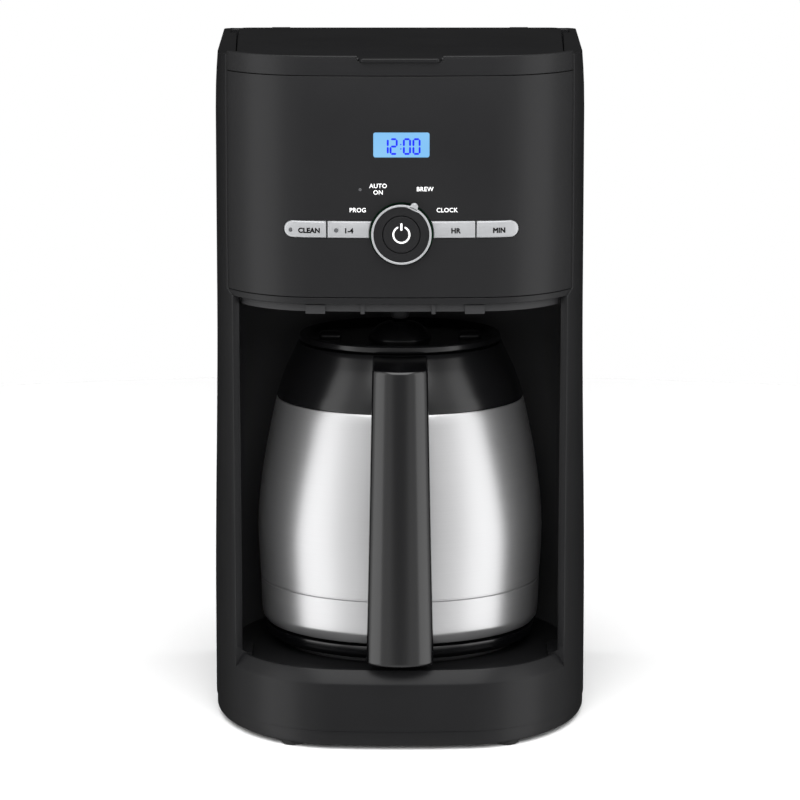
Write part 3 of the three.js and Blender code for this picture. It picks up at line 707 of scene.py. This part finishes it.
def front_band(low, high, inset, soft):
    """A skin that follows the head's front between its two seams."""
    heights = [low + (high - low) * i / 4 for i in range(5)]
    bm, _ = skin([(front_path(HEAD, SEAM_X - SEAM_GAP, inset), z) for z in heights], closed=False)
    thicken(bm, SKIN)
    return round_edges(bm, soft, 3, 50)


def chin_band():
    """Band under the control panel, set back a little."""
    return to_machine(front_band(CHIN_LOW.z, CHIN_HIGH.z, 0.6 * MM, 0.5 * MM))


def control_panel():
    """Bowed panel with openings for the clock, the dial and the four keys."""
    band = front_band(PANEL_LOW.z, PANEL_HIGH.z + 0.1 * MM, 0, 0.2 * MM)
    window = facing_prism(rectangle(DIAL_X, LENS_Z, LENS_W + 0.3 * MM, LENS_H + 0.3 * MM, 1.1 * MM),
                          -130 * MM, -100 * MM)
    well = facing_turned([(0, -130 * MM), (DIAL_WELL, -130 * MM), (DIAL_WELL, -100 * MM), (0, -100 * MM)],
                         DIAL_X, DIAL_Z)
    slots = [facing_prism(outline, -130 * MM, -90 * MM) for outline in button_outlines(0.3 * MM).values()]
    return to_machine(cut(band, window, well, *slots))


def top_band():
    """Band over the control panel, with a shallow notch for the lid's lift tab."""
    band = front_band(TOP_LOW.z, TOP_HIGH.z - 0.2 * MM, 0, 0.6 * MM)
    notch = prism(tab_plan(0.9 * MM), TOP_HIGH.z - 2.7 * MM, TOP_HIGH.z + 5 * MM)
    return to_machine(cut(band, notch))


def tab_plan(grow=0.0):
    """Plan of the lift tab: it narrows towards its free edge."""
    front, back = FRONT - 2.2 * MM - grow, FRONT + 9 * MM
    return [(-TAB_HALF + 1.8 * MM - grow, front), (TAB_HALF - 1.8 * MM + grow, front),
            (TAB_HALF + grow, FRONT + 1 * MM), (TAB_HALF + grow, back),
            (-TAB_HALF - grow, back), (-TAB_HALF - grow, FRONT + 1 * MM)]


def lid_outline(inset):
    """Plan of the lid: its front follows the head's, and its sides widen a little towards the hinge."""
    front = front_path(HEAD, LID_FRONT_HALF - inset, LID_GAP + inset)
    half, back, radius = LID_BACK_HALF - inset, LID_BACK - inset, 4 * MM
    corner = [Vector((half - radius + p.x, back - radius + p.y)) for p in arc(0, 0, radius, 0, 90, 8)]
    right = [front[-1].lerp(corner[0], i / 5) for i in range(1, 5)] + corner
    return front + right + mirrored(right)


def lid_rails():
    """Broad tops of the two side walls, between which the lid lies."""
    outer = wall_path(HEAD, LID_FRONT_HALF + 0.4 * MM, 3.4 * MM)
    outer = [p for p in outer if p.x > 0 and p.y < LID_BACK - 4 * MM]
    outer.append(Vector((LID_BACK_HALF + 0.3 * MM, outer[-1].y)))
    low, high = HOUSING_HIGH.z - 9 * MM, HOUSING_HIGH.z - 0.1 * MM
    rails = [prism(points, low, high) for points in (outer, mirrored(outer))]
    return to_machine(joined(*rails))


def lid_cover():
    """Flat lid with softly rounded edges, an inner rim, a lift tab, and two knuckles at the back."""
    steps = [(0, -3.5), (0, -1.4), (0.25, -0.7), (0.8, -0.2), (1.6, 0)]
    plate = lofted([(lid_outline(i * MM), LID_TOP + z * MM) for i, z in steps])
    rim, _ = skin([(lid_outline(6 * MM), LID_TOP + z * MM) for z in (-9, -3.2)])
    thicken(rim, 2 * MM)
    rim = cut(rim, block((-110 * MM, 90 * MM, 340 * MM), (110 * MM, 130 * MM, LID_TOP - 3.5 * MM)))
    tab = prism(tab_plan(), LID_TOP - 2.3 * MM, LID_TOP - 0.15 * MM)
    round_edges(tab, 0.7 * MM, 3, 30)
    knuckles = []
    for side in (-1, 1):
        low, high = side * HINGE_X - 5 * MM, side * HINGE_X + 5 * MM
        web = block((low, HINGE_Y - 4.3 * MM, HINGE_Z - 2 * MM), (high, HINGE_Y, LID_TOP - 0.4 * MM))
        bore, outer = 1.95 * MM, 2.4 * MM
        barrel = turned([(bore, low), (outer, low), (outer, high), (bore, high), (bore, low)], steps=40)
        bmesh.ops.transform(barrel, matrix=Matrix.Translation((0, HINGE_Y, HINGE_Z))
                            @ Matrix.Rotation(math.radians(90), 4, "Y"), verts=barrel.verts)
        knuckles += [web, barrel]
    return to_machine(joined(plate, rim, tab, *knuckles))


# ---------------- controls

BUTTON_SPANS = {
    "clean_button": (-59.3, -37.9), "cups_button": (-37.3, -15),
    "hour_button": (15, 37.3), "minute_button": (37.9, 59.3),
}


def button_outlines(grow=0.0):
    """Front outlines of the four bar buttons: round outer ends, and inner ends that follow the dial."""
    radius = BUTTON_H / 2 + grow
    outlines = {}
    for name, (x0, x1) in BUTTON_SPANS.items():
        left, right = DIAL_X + x0 * MM - grow, DIAL_X + x1 * MM + grow
        low, high = BUTTON_Z - radius, BUTTON_Z + radius
        if name == "clean_button":
            start, end = arc(left + radius, BUTTON_Z, radius, 90, 270), [(right, low), (right, high)]
        elif name == "minute_button":
            start, end = [(left, high), (left, low)], arc(right - radius, BUTTON_Z, radius, -90, 90)
        else:
            clear = DIAL_RADIUS + 1.1 * MM - grow
            drops = [low + (high - low) * i / 10 - DIAL_Z for i in range(11)]
            reach = [(math.sqrt(clear ** 2 - drop ** 2), DIAL_Z + drop) for drop in drops]
            if name == "cups_button":
                start, end = [(left, high), (left, low)], [(DIAL_X - x, z) for x, z in reach]
            else:
                start, end = [(DIAL_X + x, z) for x, z in reversed(reach)], [(right, low), (right, high)]
        outlines[name] = start + end
    return outlines


def bar_button(outline):
    """Painted key: its face is bevelled all round, so the upper edge catches the light."""
    key = facing_prism(outline, FRONT - KEY_PROUD, FRONT + 4 * MM)
    front = FRONT - 0.5 * MM
    round_edges(key, 0.8 * MM, 3, 40, lambda e: all(v.co.y < front for v in e.verts))
    return to_machine(follow_front(key))


def selector_ring():
    """Bright ring on the dial's front edge, drawn out into a drop-shaped pointer."""
    outer, front = DIAL_RADIUS, RING_FRONT
    inner, back = outer - RING_WIDTH, front + 1.0 * MM
    section = [(inner, back), (inner, front), (outer, front), (outer, back), (inner, back)]
    ring = facing_turned(eased(section, 0.35 * MM), DIAL_X, DIAL_Z, 160)
    bulb, reach = 1.95 * MM, 15.5 * MM
    foot = [(-5.4 * MM, 13.6 * MM), (-2.3 * MM, 14.8 * MM)]
    outline = foot + list(reversed(arc(0, reach, bulb, -5, 185))) + [(-x, z) for x, z in reversed(foot)]
    drop = facing_prism(outline, front, front + 1.7 * MM)
    round_edges(drop, 0.5 * MM, 3, 40, lambda e: all(v.co.y < front + 0.1 * MM for v in e.verts))
    turn = Matrix.Rotation(POINTER_TURN, 4, "Y")
    bmesh.ops.transform(drop, matrix=Matrix.Translation((DIAL_X, 0, DIAL_Z)) @ turn, verts=drop.verts)
    return to_machine(joined(ring, drop))


def on_dial(profile, front, steps):
    """A body of revolution on the dial's axis: radii, and depths behind a front, in millimetres."""
    points = [(r * MM, front + y * MM) for r, y in profile]
    return to_machine(facing_turned(points, DIAL_X, DIAL_Z, steps))


def selector_hub():
    """Dark body of the dial: a side wall under the bright ring, and a flat face inside it."""
    return on_dial([
        (9.5, 8.8), (9.5, 1.25), (9.75, 0.95), (13.9, 0.95), (14.1, 1.1), (14.95, 1.1), (14.95, 7.3),
        (14.0, 7.4), (14.0, 8.8), (9.5, 8.8),
    ], RING_FRONT, 128)


def power_button():
    """Round button in the middle of the dial, slightly dished, with a rounded rim."""
    return on_dial([
        (0, 0.35), (5, 0.3), (8.3, 0.08), (8.8, 0.0), (9.15, 0.12), (9.3, 0.45), (9.3, 10), (0, 10),
    ], POWER_FRONT, 96)


def power_symbol():
    """The on and off sign: an open ring and a bar."""
    outer, inner = 4.5 * MM, 3.65 * MM
    ring = arc(DIAL_X, DIAL_Z, outer, 113, 427, 60) + arc(DIAL_X, DIAL_Z, inner, 115, 425, 60)[::-1]
    bar = rectangle(DIAL_X, DIAL_Z + 3.9 * MM, 1.0 * MM, 3.8 * MM, 0.48 * MM)
    low, high = POWER_FRONT + 0.12 * MM, POWER_FRONT + 1 * MM
    return to_machine(joined(facing_prism(ring, low, high), facing_prism(bar, low, high)))


def display_glass():
    """Slightly sunk pane of the clock."""
    outline = rectangle(DIAL_X, LENS_Z, LENS_W - 0.1 * MM, LENS_H - 0.1 * MM, 0.9 * MM)
    pane = facing_prism(outline, LENS_FRONT, LENS_FRONT + 2 * MM)
    return to_machine(round_edges(pane, 0.15 * MM, 2, 60))


SEGMENTS = {"0": "abcdef", "1": "bc", "2": "abged"}


def segment(x, z, length, upright):
    """One bar of a digit, with pointed ends."""
    half, thick = length / 2, STROKE / 2
    shape = [(-half, 0), (-half + thick, thick), (half - thick, thick), (half, 0), (half - thick, -thick),
             (-half + thick, -thick)]
    points = [(x + b, z + a) if upright else (x + a, z + b) for a, b in shape]
    return facing_prism(points, LENS_FRONT - 0.06 * MM, LENS_FRONT + 0.2 * MM)


def clock_digits():
    """Seven-bar digits of the clock, set to twelve."""
    side, rise = DIGIT_W / 2, DIGIT_H / 4
    across = {"a": 2 * rise, "g": 0, "d": -2 * rise}
    upright = {"f": (-side, rise), "b": (side, rise), "e": (-side, -rise), "c": (side, -rise)}
    bars = []
    for digit, offset in (("1", -8.2 * MM), ("2", -3.7 * MM), ("0", 3.0 * MM), ("0", 7.8 * MM)):
        x, z = DIAL_X + offset - 0.2 * MM, LENS_Z - 0.7 * MM
        for bar in SEGMENTS[digit]:
            if bar in across:
                bars.append(segment(x, z + across[bar], DIGIT_W - 0.25 * MM, False))
            else:
                dx, dz = upright[bar]
                bars.append(segment(x + dx, z + dz, 2 * rise - 0.25 * MM, True))
    for rise in (-1.2 * MM, 1.0 * MM):
        dot = rectangle(DIAL_X - 0.3 * MM, LENS_Z - 0.7 * MM + rise, 0.6 * MM, 0.6 * MM)
        bars.append(facing_prism(dot, LENS_FRONT - 0.06 * MM, LENS_FRONT + 0.2 * MM))
    return to_machine(joined(*bars))


def letters(words, x, z, height, proud, bold):
    """Printed words in plain capitals, standing a hair proud of the surface behind them."""
    curve = bpy.data.curves.new("letters", "FONT")
    curve.body = words
    curve.size = height * 1.38
    curve.bevel_depth = bold * height
    curve.bevel_resolution = 0
    curve.align_x = "CENTER"
    curve.space_character = 1.04
    curve.extrude = 0.1 * MM
    curve.resolution_u = 3
    made = placed("letters", curve)
    bm = bmesh.new()
    bm.from_mesh(made.evaluated_get(bpy.context.evaluated_depsgraph_get()).to_mesh())
    bpy.data.objects.remove(made)
    bpy.data.curves.remove(curve)
    place = Matrix.Translation((x, FRONT - proud + 0.13 * MM, z - height / 2)) @ FACING
    bmesh.ops.transform(bm, matrix=place, verts=bm.verts)
    for vert in bm.verts:
        vert.co.y += front_sag(vert.co.x)
    return to_machine(bm)


def lamp(x, z, radius, proud):
    """Small round lamp lens, a little domed."""
    front = FRONT + front_sag(x) - proud
    profile = [(0, front - 0.12 * MM), (radius * 0.7, front - 0.08 * MM), (radius, front + 0.02 * MM),
               (radius, front + 0.6 * MM), (0, front + 0.6 * MM)]
    return to_machine(facing_turned(profile, x, z, 24))


# ---------------- carafe

STEEL_SIDE = [
    (66, 49.6), (71.6, 50.6), (73.3, 52.8), (73.9, 56.5), (74.35, 68), (74.5, 73.0), (73.5, 73.4),
    (73.5, 74.0), (74.6, 74.4), (75.4, 88), (75.8, 100.7), (75.5, 110), (74.7, 119), (73.2, 131),
    (71.2, 143), (68.8, 155), (66.9, 164), (65.7, 169.2), (65.2, 170.0),
]
COLLAR_SIDE = [(65.2, 170.4), (65.4, 171.2), (63.5, 177.5), (60.6, 185.5), (57.5, 192.0), (55.2, 197),
               (54.4, 199.0), (53.9, 199.5)]


def steel_shell():
    """Spun steel body, with a rolled groove above its foot."""
    inner = [(r - 1, z) for r, z in reversed(STEEL_SIDE[1:])]
    return lathe([(0, 49.6)] + STEEL_SIDE + inner + [(0, 51)], steps=192)


def carafe_collar():
    """Black shoulder between the steel body and the lid."""
    inner = [(51, 199.5), (51.4, 190), (60.6, 170.4)]
    return lathe(COLLAR_SIDE + inner + [COLLAR_SIDE[0]], steps=192)


def carafe_base_ring():
    """Black foot ring under the steel body."""
    section = [(59, 41.9), (68.5, 41.9), (71.4, 44.6), (71.6, 48.9), (58.5, 48.9), (59, 41.9)]
    return lathe(section, 0.8, steps=160)


def carafe_lid():
    """Screw-in lid: a raised rim, a sunk floor with a domed hub, and two grips to turn it by."""
    cap = lathe([
        (0, 196), (46.8, 196), (46.8, 200.1), (52.9, 200.3), (53.5, 201.2), (53.2, 203.6), (51.8, 204.5),
        (49.6, 203.4), (47.2, 200.9), (0, 200.7),
    ], 0.6, steps=160)
    hub = lathe([
        (3.4, 200), (17.0, 200), (16.0, 203.0), (13.0, 207.0), (9.0, 209.3), (4.4, 210.0), (3.4, 209.0),
        (3.4, 200),
    ], 2.0, steps=96)
    reach, half = 37 * MM, 6 * MM
    grips = []
    for x in (-reach, reach):
        grip = block((x - half, CARAFE_Y - half, 199.5 * MM), (x + half, CARAFE_Y + half, 204.6 * MM))
        grips.append(round_edges(grip, 2.4 * MM, 5, 50))
    drain = lathe([(0, 190), (3.2, 190), (3.2, 230), (0, 230)], steps=32)
    return joined(cut(cap, drain), hub, *grips)


def carafe_handle():
    """Bowed grip: crowned across its outer face, narrower upwards, and cut off at the carafe's body."""
    side_view = eased([
        (-60, 199.3), (-123.6, 199.3), (-124.8, 198.1), (-121.4, 46.4), (-120.2, 45.2), (-60, 45.9),
        (-60, 55), (-112.0, 57), (-113.0, 173.5), (-101, 185.4), (-60, 187.4), (-60, 199.3),
    ], 7, 6)
    bm = bmesh.new()
    _, edges = wire(bm, [(0, y * MM, z * MM) for y, z in side_view[:-1]], closed=True)
    face = bmesh.ops.contextual_create(bm, geom=edges)["faces"]
    half, crown_height, taper = 17.3 * MM, 16.4 * MM, 28.2 / 34.6 - 1
    bmesh.ops.translate(bm, verts=bm.verts, vec=(-half, 0, 0))
    raised = bmesh.ops.extrude_face_region(bm, geom=face)["geom"]
    tops = [v for v in raised if isinstance(v, bmesh.types.BMVert)]
    bmesh.ops.translate(bm, verts=tops, vec=(2 * half, 0, 0))
    face_out(bm)
    round_edges(bm, 1.2 * MM, 4, choose=lambda e: abs(e.verts[0].co.x + e.verts[1].co.x) > half)
    sliced(bm, [i * 0.84 * MM for i in range(-19, 20)])
    for vert in bm.verts:
        crown = crown_height * (1 - math.sqrt(1 - (0.88 * vert.co.x / half) ** 2))
        if vert.co.y < -116 * MM:
            vert.co.y += crown
        elif vert.co.y < -105 * MM and 56 * MM < vert.co.z < 180 * MM:
            vert.co.y += 0.45 * crown
        share = (vert.co.z - 45 * MM) / (154.5 * MM)
        vert.co.x *= 1 + taper * share
    side = STEEL_SIDE[2:5] + [(74.9, 80)] + STEEL_SIDE[9:-1] + COLLAR_SIDE[1:]
    core = [(0, 10), (73.6, 10)] + [(r + 0.3, z) for r, z in side] + [(54.3, 260), (0, 260)]
    body = lathe(core, y=CARAFE_Y - MIDDLE_Y, steps=96)
    return to_machine(cut(bm, body))


def rest_ring():
    """Raised ring in the bay floor that centres the carafe."""
    return lathe([
        (0, 38.4), (62.3, 38.4), (63.0, 39.2), (63.0, 40.6), (62.2, 41.2), (60.6, 41.1), (58.6, 40.1),
        (0, 40.0),
    ], 0.5, steps=160)


def foot(node):
    """Soft foot with a rounded edge and a shallow cup in its sole."""
    low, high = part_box(node)
    x, y = (low.x + high.x) / 2, (low.y + high.y) / 2
    profile = [(0, 0.5), (3.2, 0.5), (3.8, 0), (5.2, 0), (6, 0.9), (6, 4.7), (0, 4.7)]
    return lathe(profile, 0.5, x, y, 40)


# ---------------- brewing parts under the lid


def filter_basket():
    """Funnel-shaped basket with a flange, and a spout through the head's floor."""
    cup = lathe([
        (7, 250), (40, 250), (51, 340), (53, 340.2), (53, 342.8), (57, 342.9), (57, 344.9), (50, 344.9),
        (38.4, 253), (7, 253), (7, 250),
    ], 0.8, y=BREW_Y)
    spout = lathe([(7, 219), (9.2, 219), (10, 220.5), (10, 251), (7, 251), (7, 219)], 0.5, steps=64)
    return joined(cup, spout)


def permanent_filter():
    """Cone of fine gold-toned mesh with a rolled rim."""
    return lathe([
        (0, 258), (32.5, 258), (34, 259.4), (44.5, 336), (44.5, 340.6), (43.9, 341), (43.2, 340.6),
        (43.2, 336), (32.0, 259.3), (0, 259.2),
    ], 0.5, y=BREW_Y)


def spray_plate():
    """Round spray plate under the lid, with a raised rim."""
    return lathe([
        (0, 346.9), (30, 346.9), (31, 346.2), (34.4, 346.2), (36, 347.4), (36, 349.5), (0, 349.6),
    ], 0.4, y=BREW_Y, steps=96)


def valve_spring():
    """Coil spring over the valve, with room below it for the valve's travel."""
    low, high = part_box("drip_stop_spring")
    coil, thick, turns, steps = 4.4 * MM, 0.35 * MM, 5, 24
    rise = high.z - low.z - VALVE_TRAVEL - 2 * thick
    bm = bmesh.new()
    ring = [(coil + p.x, 0, low.z + VALVE_TRAVEL + thick + p.y) for p in arc(0, 0, thick, 0, 315, 7)]
    verts, edges = wire(bm, ring, closed=True)
    spun = bmesh.ops.spin(bm, geom=verts + edges, cent=(0, 0, 0), axis=(0, 0, 1), angle=math.tau * turns,
                          dvec=(0, 0, rise / (turns * steps)), steps=turns * steps)
    for loop in (edges, [e for e in spun["geom_last"] if isinstance(e, bmesh.types.BMEdge)]):
        bmesh.ops.contextual_create(bm, geom=loop)
    bmesh.ops.translate(bm, verts=bm.verts, vec=(0, CARAFE_Y, 0))
    return bm


# ---------------- pieces

BLACK, DARK, PANEL = "matt_black_plastic", "dark_plastic", "panel_plastic"
GLOSS, SILVER, LIT = "gloss_black_plastic", "silver_plastic", "lit_display"

finish("housing_shell", housing_shell(), SATIN_ABS, "housing", BLACK, "main_housing")
finish("base_deck", base_deck(), SATIN_ABS, "housing", BLACK, "base_cover")
finish("bay_corner_fillets", bay_corners(), SATIN_ABS, "housing", BLACK)
finish("bottom_band", bottom_plate(), SATIN_ABS, "housing", DARK, "base_plate")
finish("bay_wall", bay_wall(), BAY_ABS_PAINTED_LIGHTER, "housing", DARK, "bay_liner")
finish("head_underside", head_underside(), DARK_PP, "housing", DARK, "head_floor")
finish("front_panel", control_panel(), PANEL_ABS, "housing", PANEL, "control_panel")
finish("top_band", top_band(), PANEL_ABS, "housing", PANEL, "top_trim")
finish("chin_band", chin_band(), PANEL_ABS, "housing", BLACK, "chin_trim")
finish("lid_side_rails", lid_rails(), SATIN_ABS, "housing", BLACK)
finish("lid_cover", lid_cover(), SATIN_ABS, "lid", BLACK, "lid")
finish("spray_plate", spray_plate(), DARK_PP, "lid", DARK, "shower_head")
finish("valve_coil", valve_spring(), ZINC, "housing", "plated_steel", "drip_stop_spring")
finish("basket", filter_basket(), DARK_PP, "housing", BLACK, "filter_basket")
finish("mesh_filter", permanent_filter(), GOLD_MESH, "housing", "gold_mesh", "permanent_filter")
finish("carafe_rest_ring", rest_ring(), DARK_PP, "housing", DARK, "carafe_rest")

finish("dial_ring", selector_ring(), SILVER_LACQUER, "dial", SILVER, "selector_ring")
finish("dial_body", selector_hub(), PANEL_ABS, "dial", PANEL, "selector_hub")
finish("power_key", power_button(), PANEL_ABS, "power_button", PANEL, "power_button")
finish("power_sign", power_symbol(), WHITE_INK, "power_button", PANEL)
finish("clock_pane", display_glass(), DISPLAY, "housing", LIT, "display_lens")
finish("clock_digits", clock_digits(), DISPLAY_INK, "housing", LIT)

# The dial's marks and their places.
MARKS = [("AUTO", -11.0, 292.5), ("ON", -11.0, 289.2), ("BREW", 12.6, 290.9), ("PROG", -21.3, 280.2),
         ("CLOCK", 23.7, 280.2)]
marks = [letters(words, x * MM, z * MM, 2.25 * MM, 0, 0.03) for words, x, z in MARKS]
finish("dial_marks", joined(*marks), WHITE_INK, "housing", PANEL)
finish("ready_lamp", lamp(-20.1 * MM, 290.5 * MM, 0.75 * MM, 0.05 * MM), DARK_LAMP, "housing", PANEL)

# Each key's mark, the mark's place, and the lamp's place where the key has one.
KEY_MARKS = {"clean_button": ("CLEAN", -45.9, -55.2), "cups_button": ("1-4", -25.9, -32.2),
             "hour_button": ("HR", 28.1, None), "minute_button": ("MIN", 50.1, None)}
for key, outline in button_outlines().items():
    words, x, lamp_x = KEY_MARKS[key]
    finish(key + "_cap", bar_button(outline), SILVER_LACQUER, key, SILVER, key)
    mark = letters(words, x * MM, 269.8 * MM, 2.5 * MM, KEY_PROUD, 0.08)
    finish(key + "_mark", mark, BLACK_INK, key, SILVER)
    if lamp_x:
        lens = lamp(lamp_x * MM, 269.9 * MM, 1.1 * MM, KEY_PROUD + 0.25 * MM)
        finish(key + "_lamp", lens, DARK_LAMP, key, SILVER)

finish("carafe_body", steel_shell(), STEEL, "carafe", "brushed_steel", "carafe_shell")
finish("carafe_shoulder", carafe_collar(), SHOULDER_PP, "carafe", GLOSS, "carafe_collar")
finish("carafe_foot", carafe_base_ring(), GLOSS_ABS, "carafe", GLOSS, "carafe_base_ring")
finish("carafe_grip", carafe_handle(), GLOSS_ABS, "carafe", GLOSS, "carafe_handle")
finish("carafe_cap", carafe_lid(), SHOULDER_PP, "carafe_lid", GLOSS, "carafe_lid")
for node in ("foot_front_left", "foot_front_right", "foot_rear_left", "foot_rear_right"):
    finish(node + "_pad", foot(node), RUBBER, "housing", "rubber", node)

FINISHES = {
    "matt_black_plastic": SATIN_ABS, "dark_plastic": DARK_PP, "panel_plastic": PANEL_ABS,
    "gloss_black_plastic": GLOSS_ABS, "silver_plastic": SILVER_LACQUER, "brushed_steel": STEEL,
    "bright_steel": BRIGHT_STEEL, "plated_steel": ZINC, "cast_aluminium": CAST_ALUMINIUM,
    "gold_mesh": GOLD_MESH, "rubber": RUBBER, "silicone": SILICONE, "natural_plastic": NATURAL_PP,
    "clear_plastic": SMOKED_CLEAR, "circuit_board": BOARD, "lit_display": DISPLAY,
}
for part in frame["record"]["subparts"]:
    for place in bpy.data.objects[part["node"]].material_slots:
        place.material = FINISHES[part["material_slot"]]
# The valve that hangs below the basket is moulded in the same dark plastic as the basket.
for place in bpy.data.objects["drip_stop_valve"].material_slots:
    place.material = DARK_PP

# ---------------- studio

FRONT_LEVEL = 0.85               # brightness of the sky in front of the machine
MIDDLE_SHARE = 0.42              # straight in front, the sky keeps this share of it
BACK_LEVEL = 0.02                # brightness of the sky behind the machine
FLOOR_RADIUS = 1.1
LENS_MM = 173.6
CAMERA_PLACE = (0, -2.04025, 0.509)
CAMERA_TILT = 9.57               # degrees that the camera looks down by


def studio():
    """White paper on a floor, under a sky that is bright in front and dim behind the machine."""
    paper, _, shader = surface("white_paper_sweep", Roughness=0.95, Specular_IOR_Level=0.0)
    shader.inputs["Base Color"].default_value = (0.9, 0.9, 0.9, 1)
    bm = bmesh.new()
    bmesh.ops.create_circle(bm, cap_ends=True, segments=96, radius=FLOOR_RADIUS)
    mesh = mesh_of(bm, "studio_floor")
    mesh.materials.append(paper)
    floor = placed("studio_floor", mesh)
    floor.visible_glossy = False

    world = bpy.data.worlds.new("studio_white")
    world.use_nodes = True
    tree = world.node_tree
    background = tree.nodes["Background"]
    direction = add_node(tree, "TexCoord").outputs["Generated"]
    depth = add_node(tree, "SeparateXYZ", {"Vector": direction}).outputs["Y"]
    level = add_node(tree, "MapRange", {
        "Value": depth, "From Min": -0.2, "From Max": 0.95, "To Min": FRONT_LEVEL, "To Max": BACK_LEVEL,
    }, interpolation_type="SMOOTHSTEP")
    centre = add_node(tree, "MapRange", {
        "Value": depth, "From Min": -0.98, "From Max": -0.8, "To Min": MIDDLE_SHARE, "To Max": 1.0,
    }, interpolation_type="SMOOTHSTEP")
    level = add_node(tree, "Math", {0: level.outputs["Result"], 1: centre.outputs["Result"]},
                     operation="MULTIPLY")
    seen = add_node(tree, "LightPath").outputs["Is Camera Ray"]
    strength = add_node(tree, "Mix", {"Factor": seen, "A": level.outputs["Value"], "B": 1.0})
    tree.links.new(strength.outputs["Result"], background.inputs["Strength"])
    background.inputs["Color"].default_value = (1, 1, 1, 1)
    SCENE.world = world


def softbox(name, place, width, height, power):
    """A rectangular lamp that faces the middle of the machine."""
    light = bpy.data.lights.new(name, "AREA")
    light.shape = "RECTANGLE"
    light.size, light.size_y = width, height
    light.energy = power
    made = placed(name, light)
    made.location = place
    made.rotation_euler = (Vector((0, 0, 0.2)) - Vector(place)).to_track_quat("-Z", "Y").to_euler()
    return made


def camera():
    """A long lens in front of the machine, a little above it."""
    lens = bpy.data.cameras.new("camera")
    lens.lens = LENS_MM
    made = placed("camera", lens)
    made.location = CAMERA_PLACE
    made.rotation_euler = (math.radians(90 - CAMERA_TILT), 0, 0)
    SCENE.camera = made


studio()
softbox("softbox_left", (-1.7, -0.5, 0.2), 1.3, 2.9, 12.5)
softbox("softbox_right", (1.7, -0.5, 0.2), 1.3, 2.9, 12.5)
softbox("softbox_over", (0, -0.9, 2.3), 2.6, 2.8, 55)
softbox("front_fill", (0, -2.4, 0.45), 1.2, 1.2, 18).visible_glossy = False
softbox("high_fill", (0, -1.4, 0.85), 1.0, 0.6, 14).visible_glossy = False
camera()
SCENE.view_settings.view_transform = "Standard"
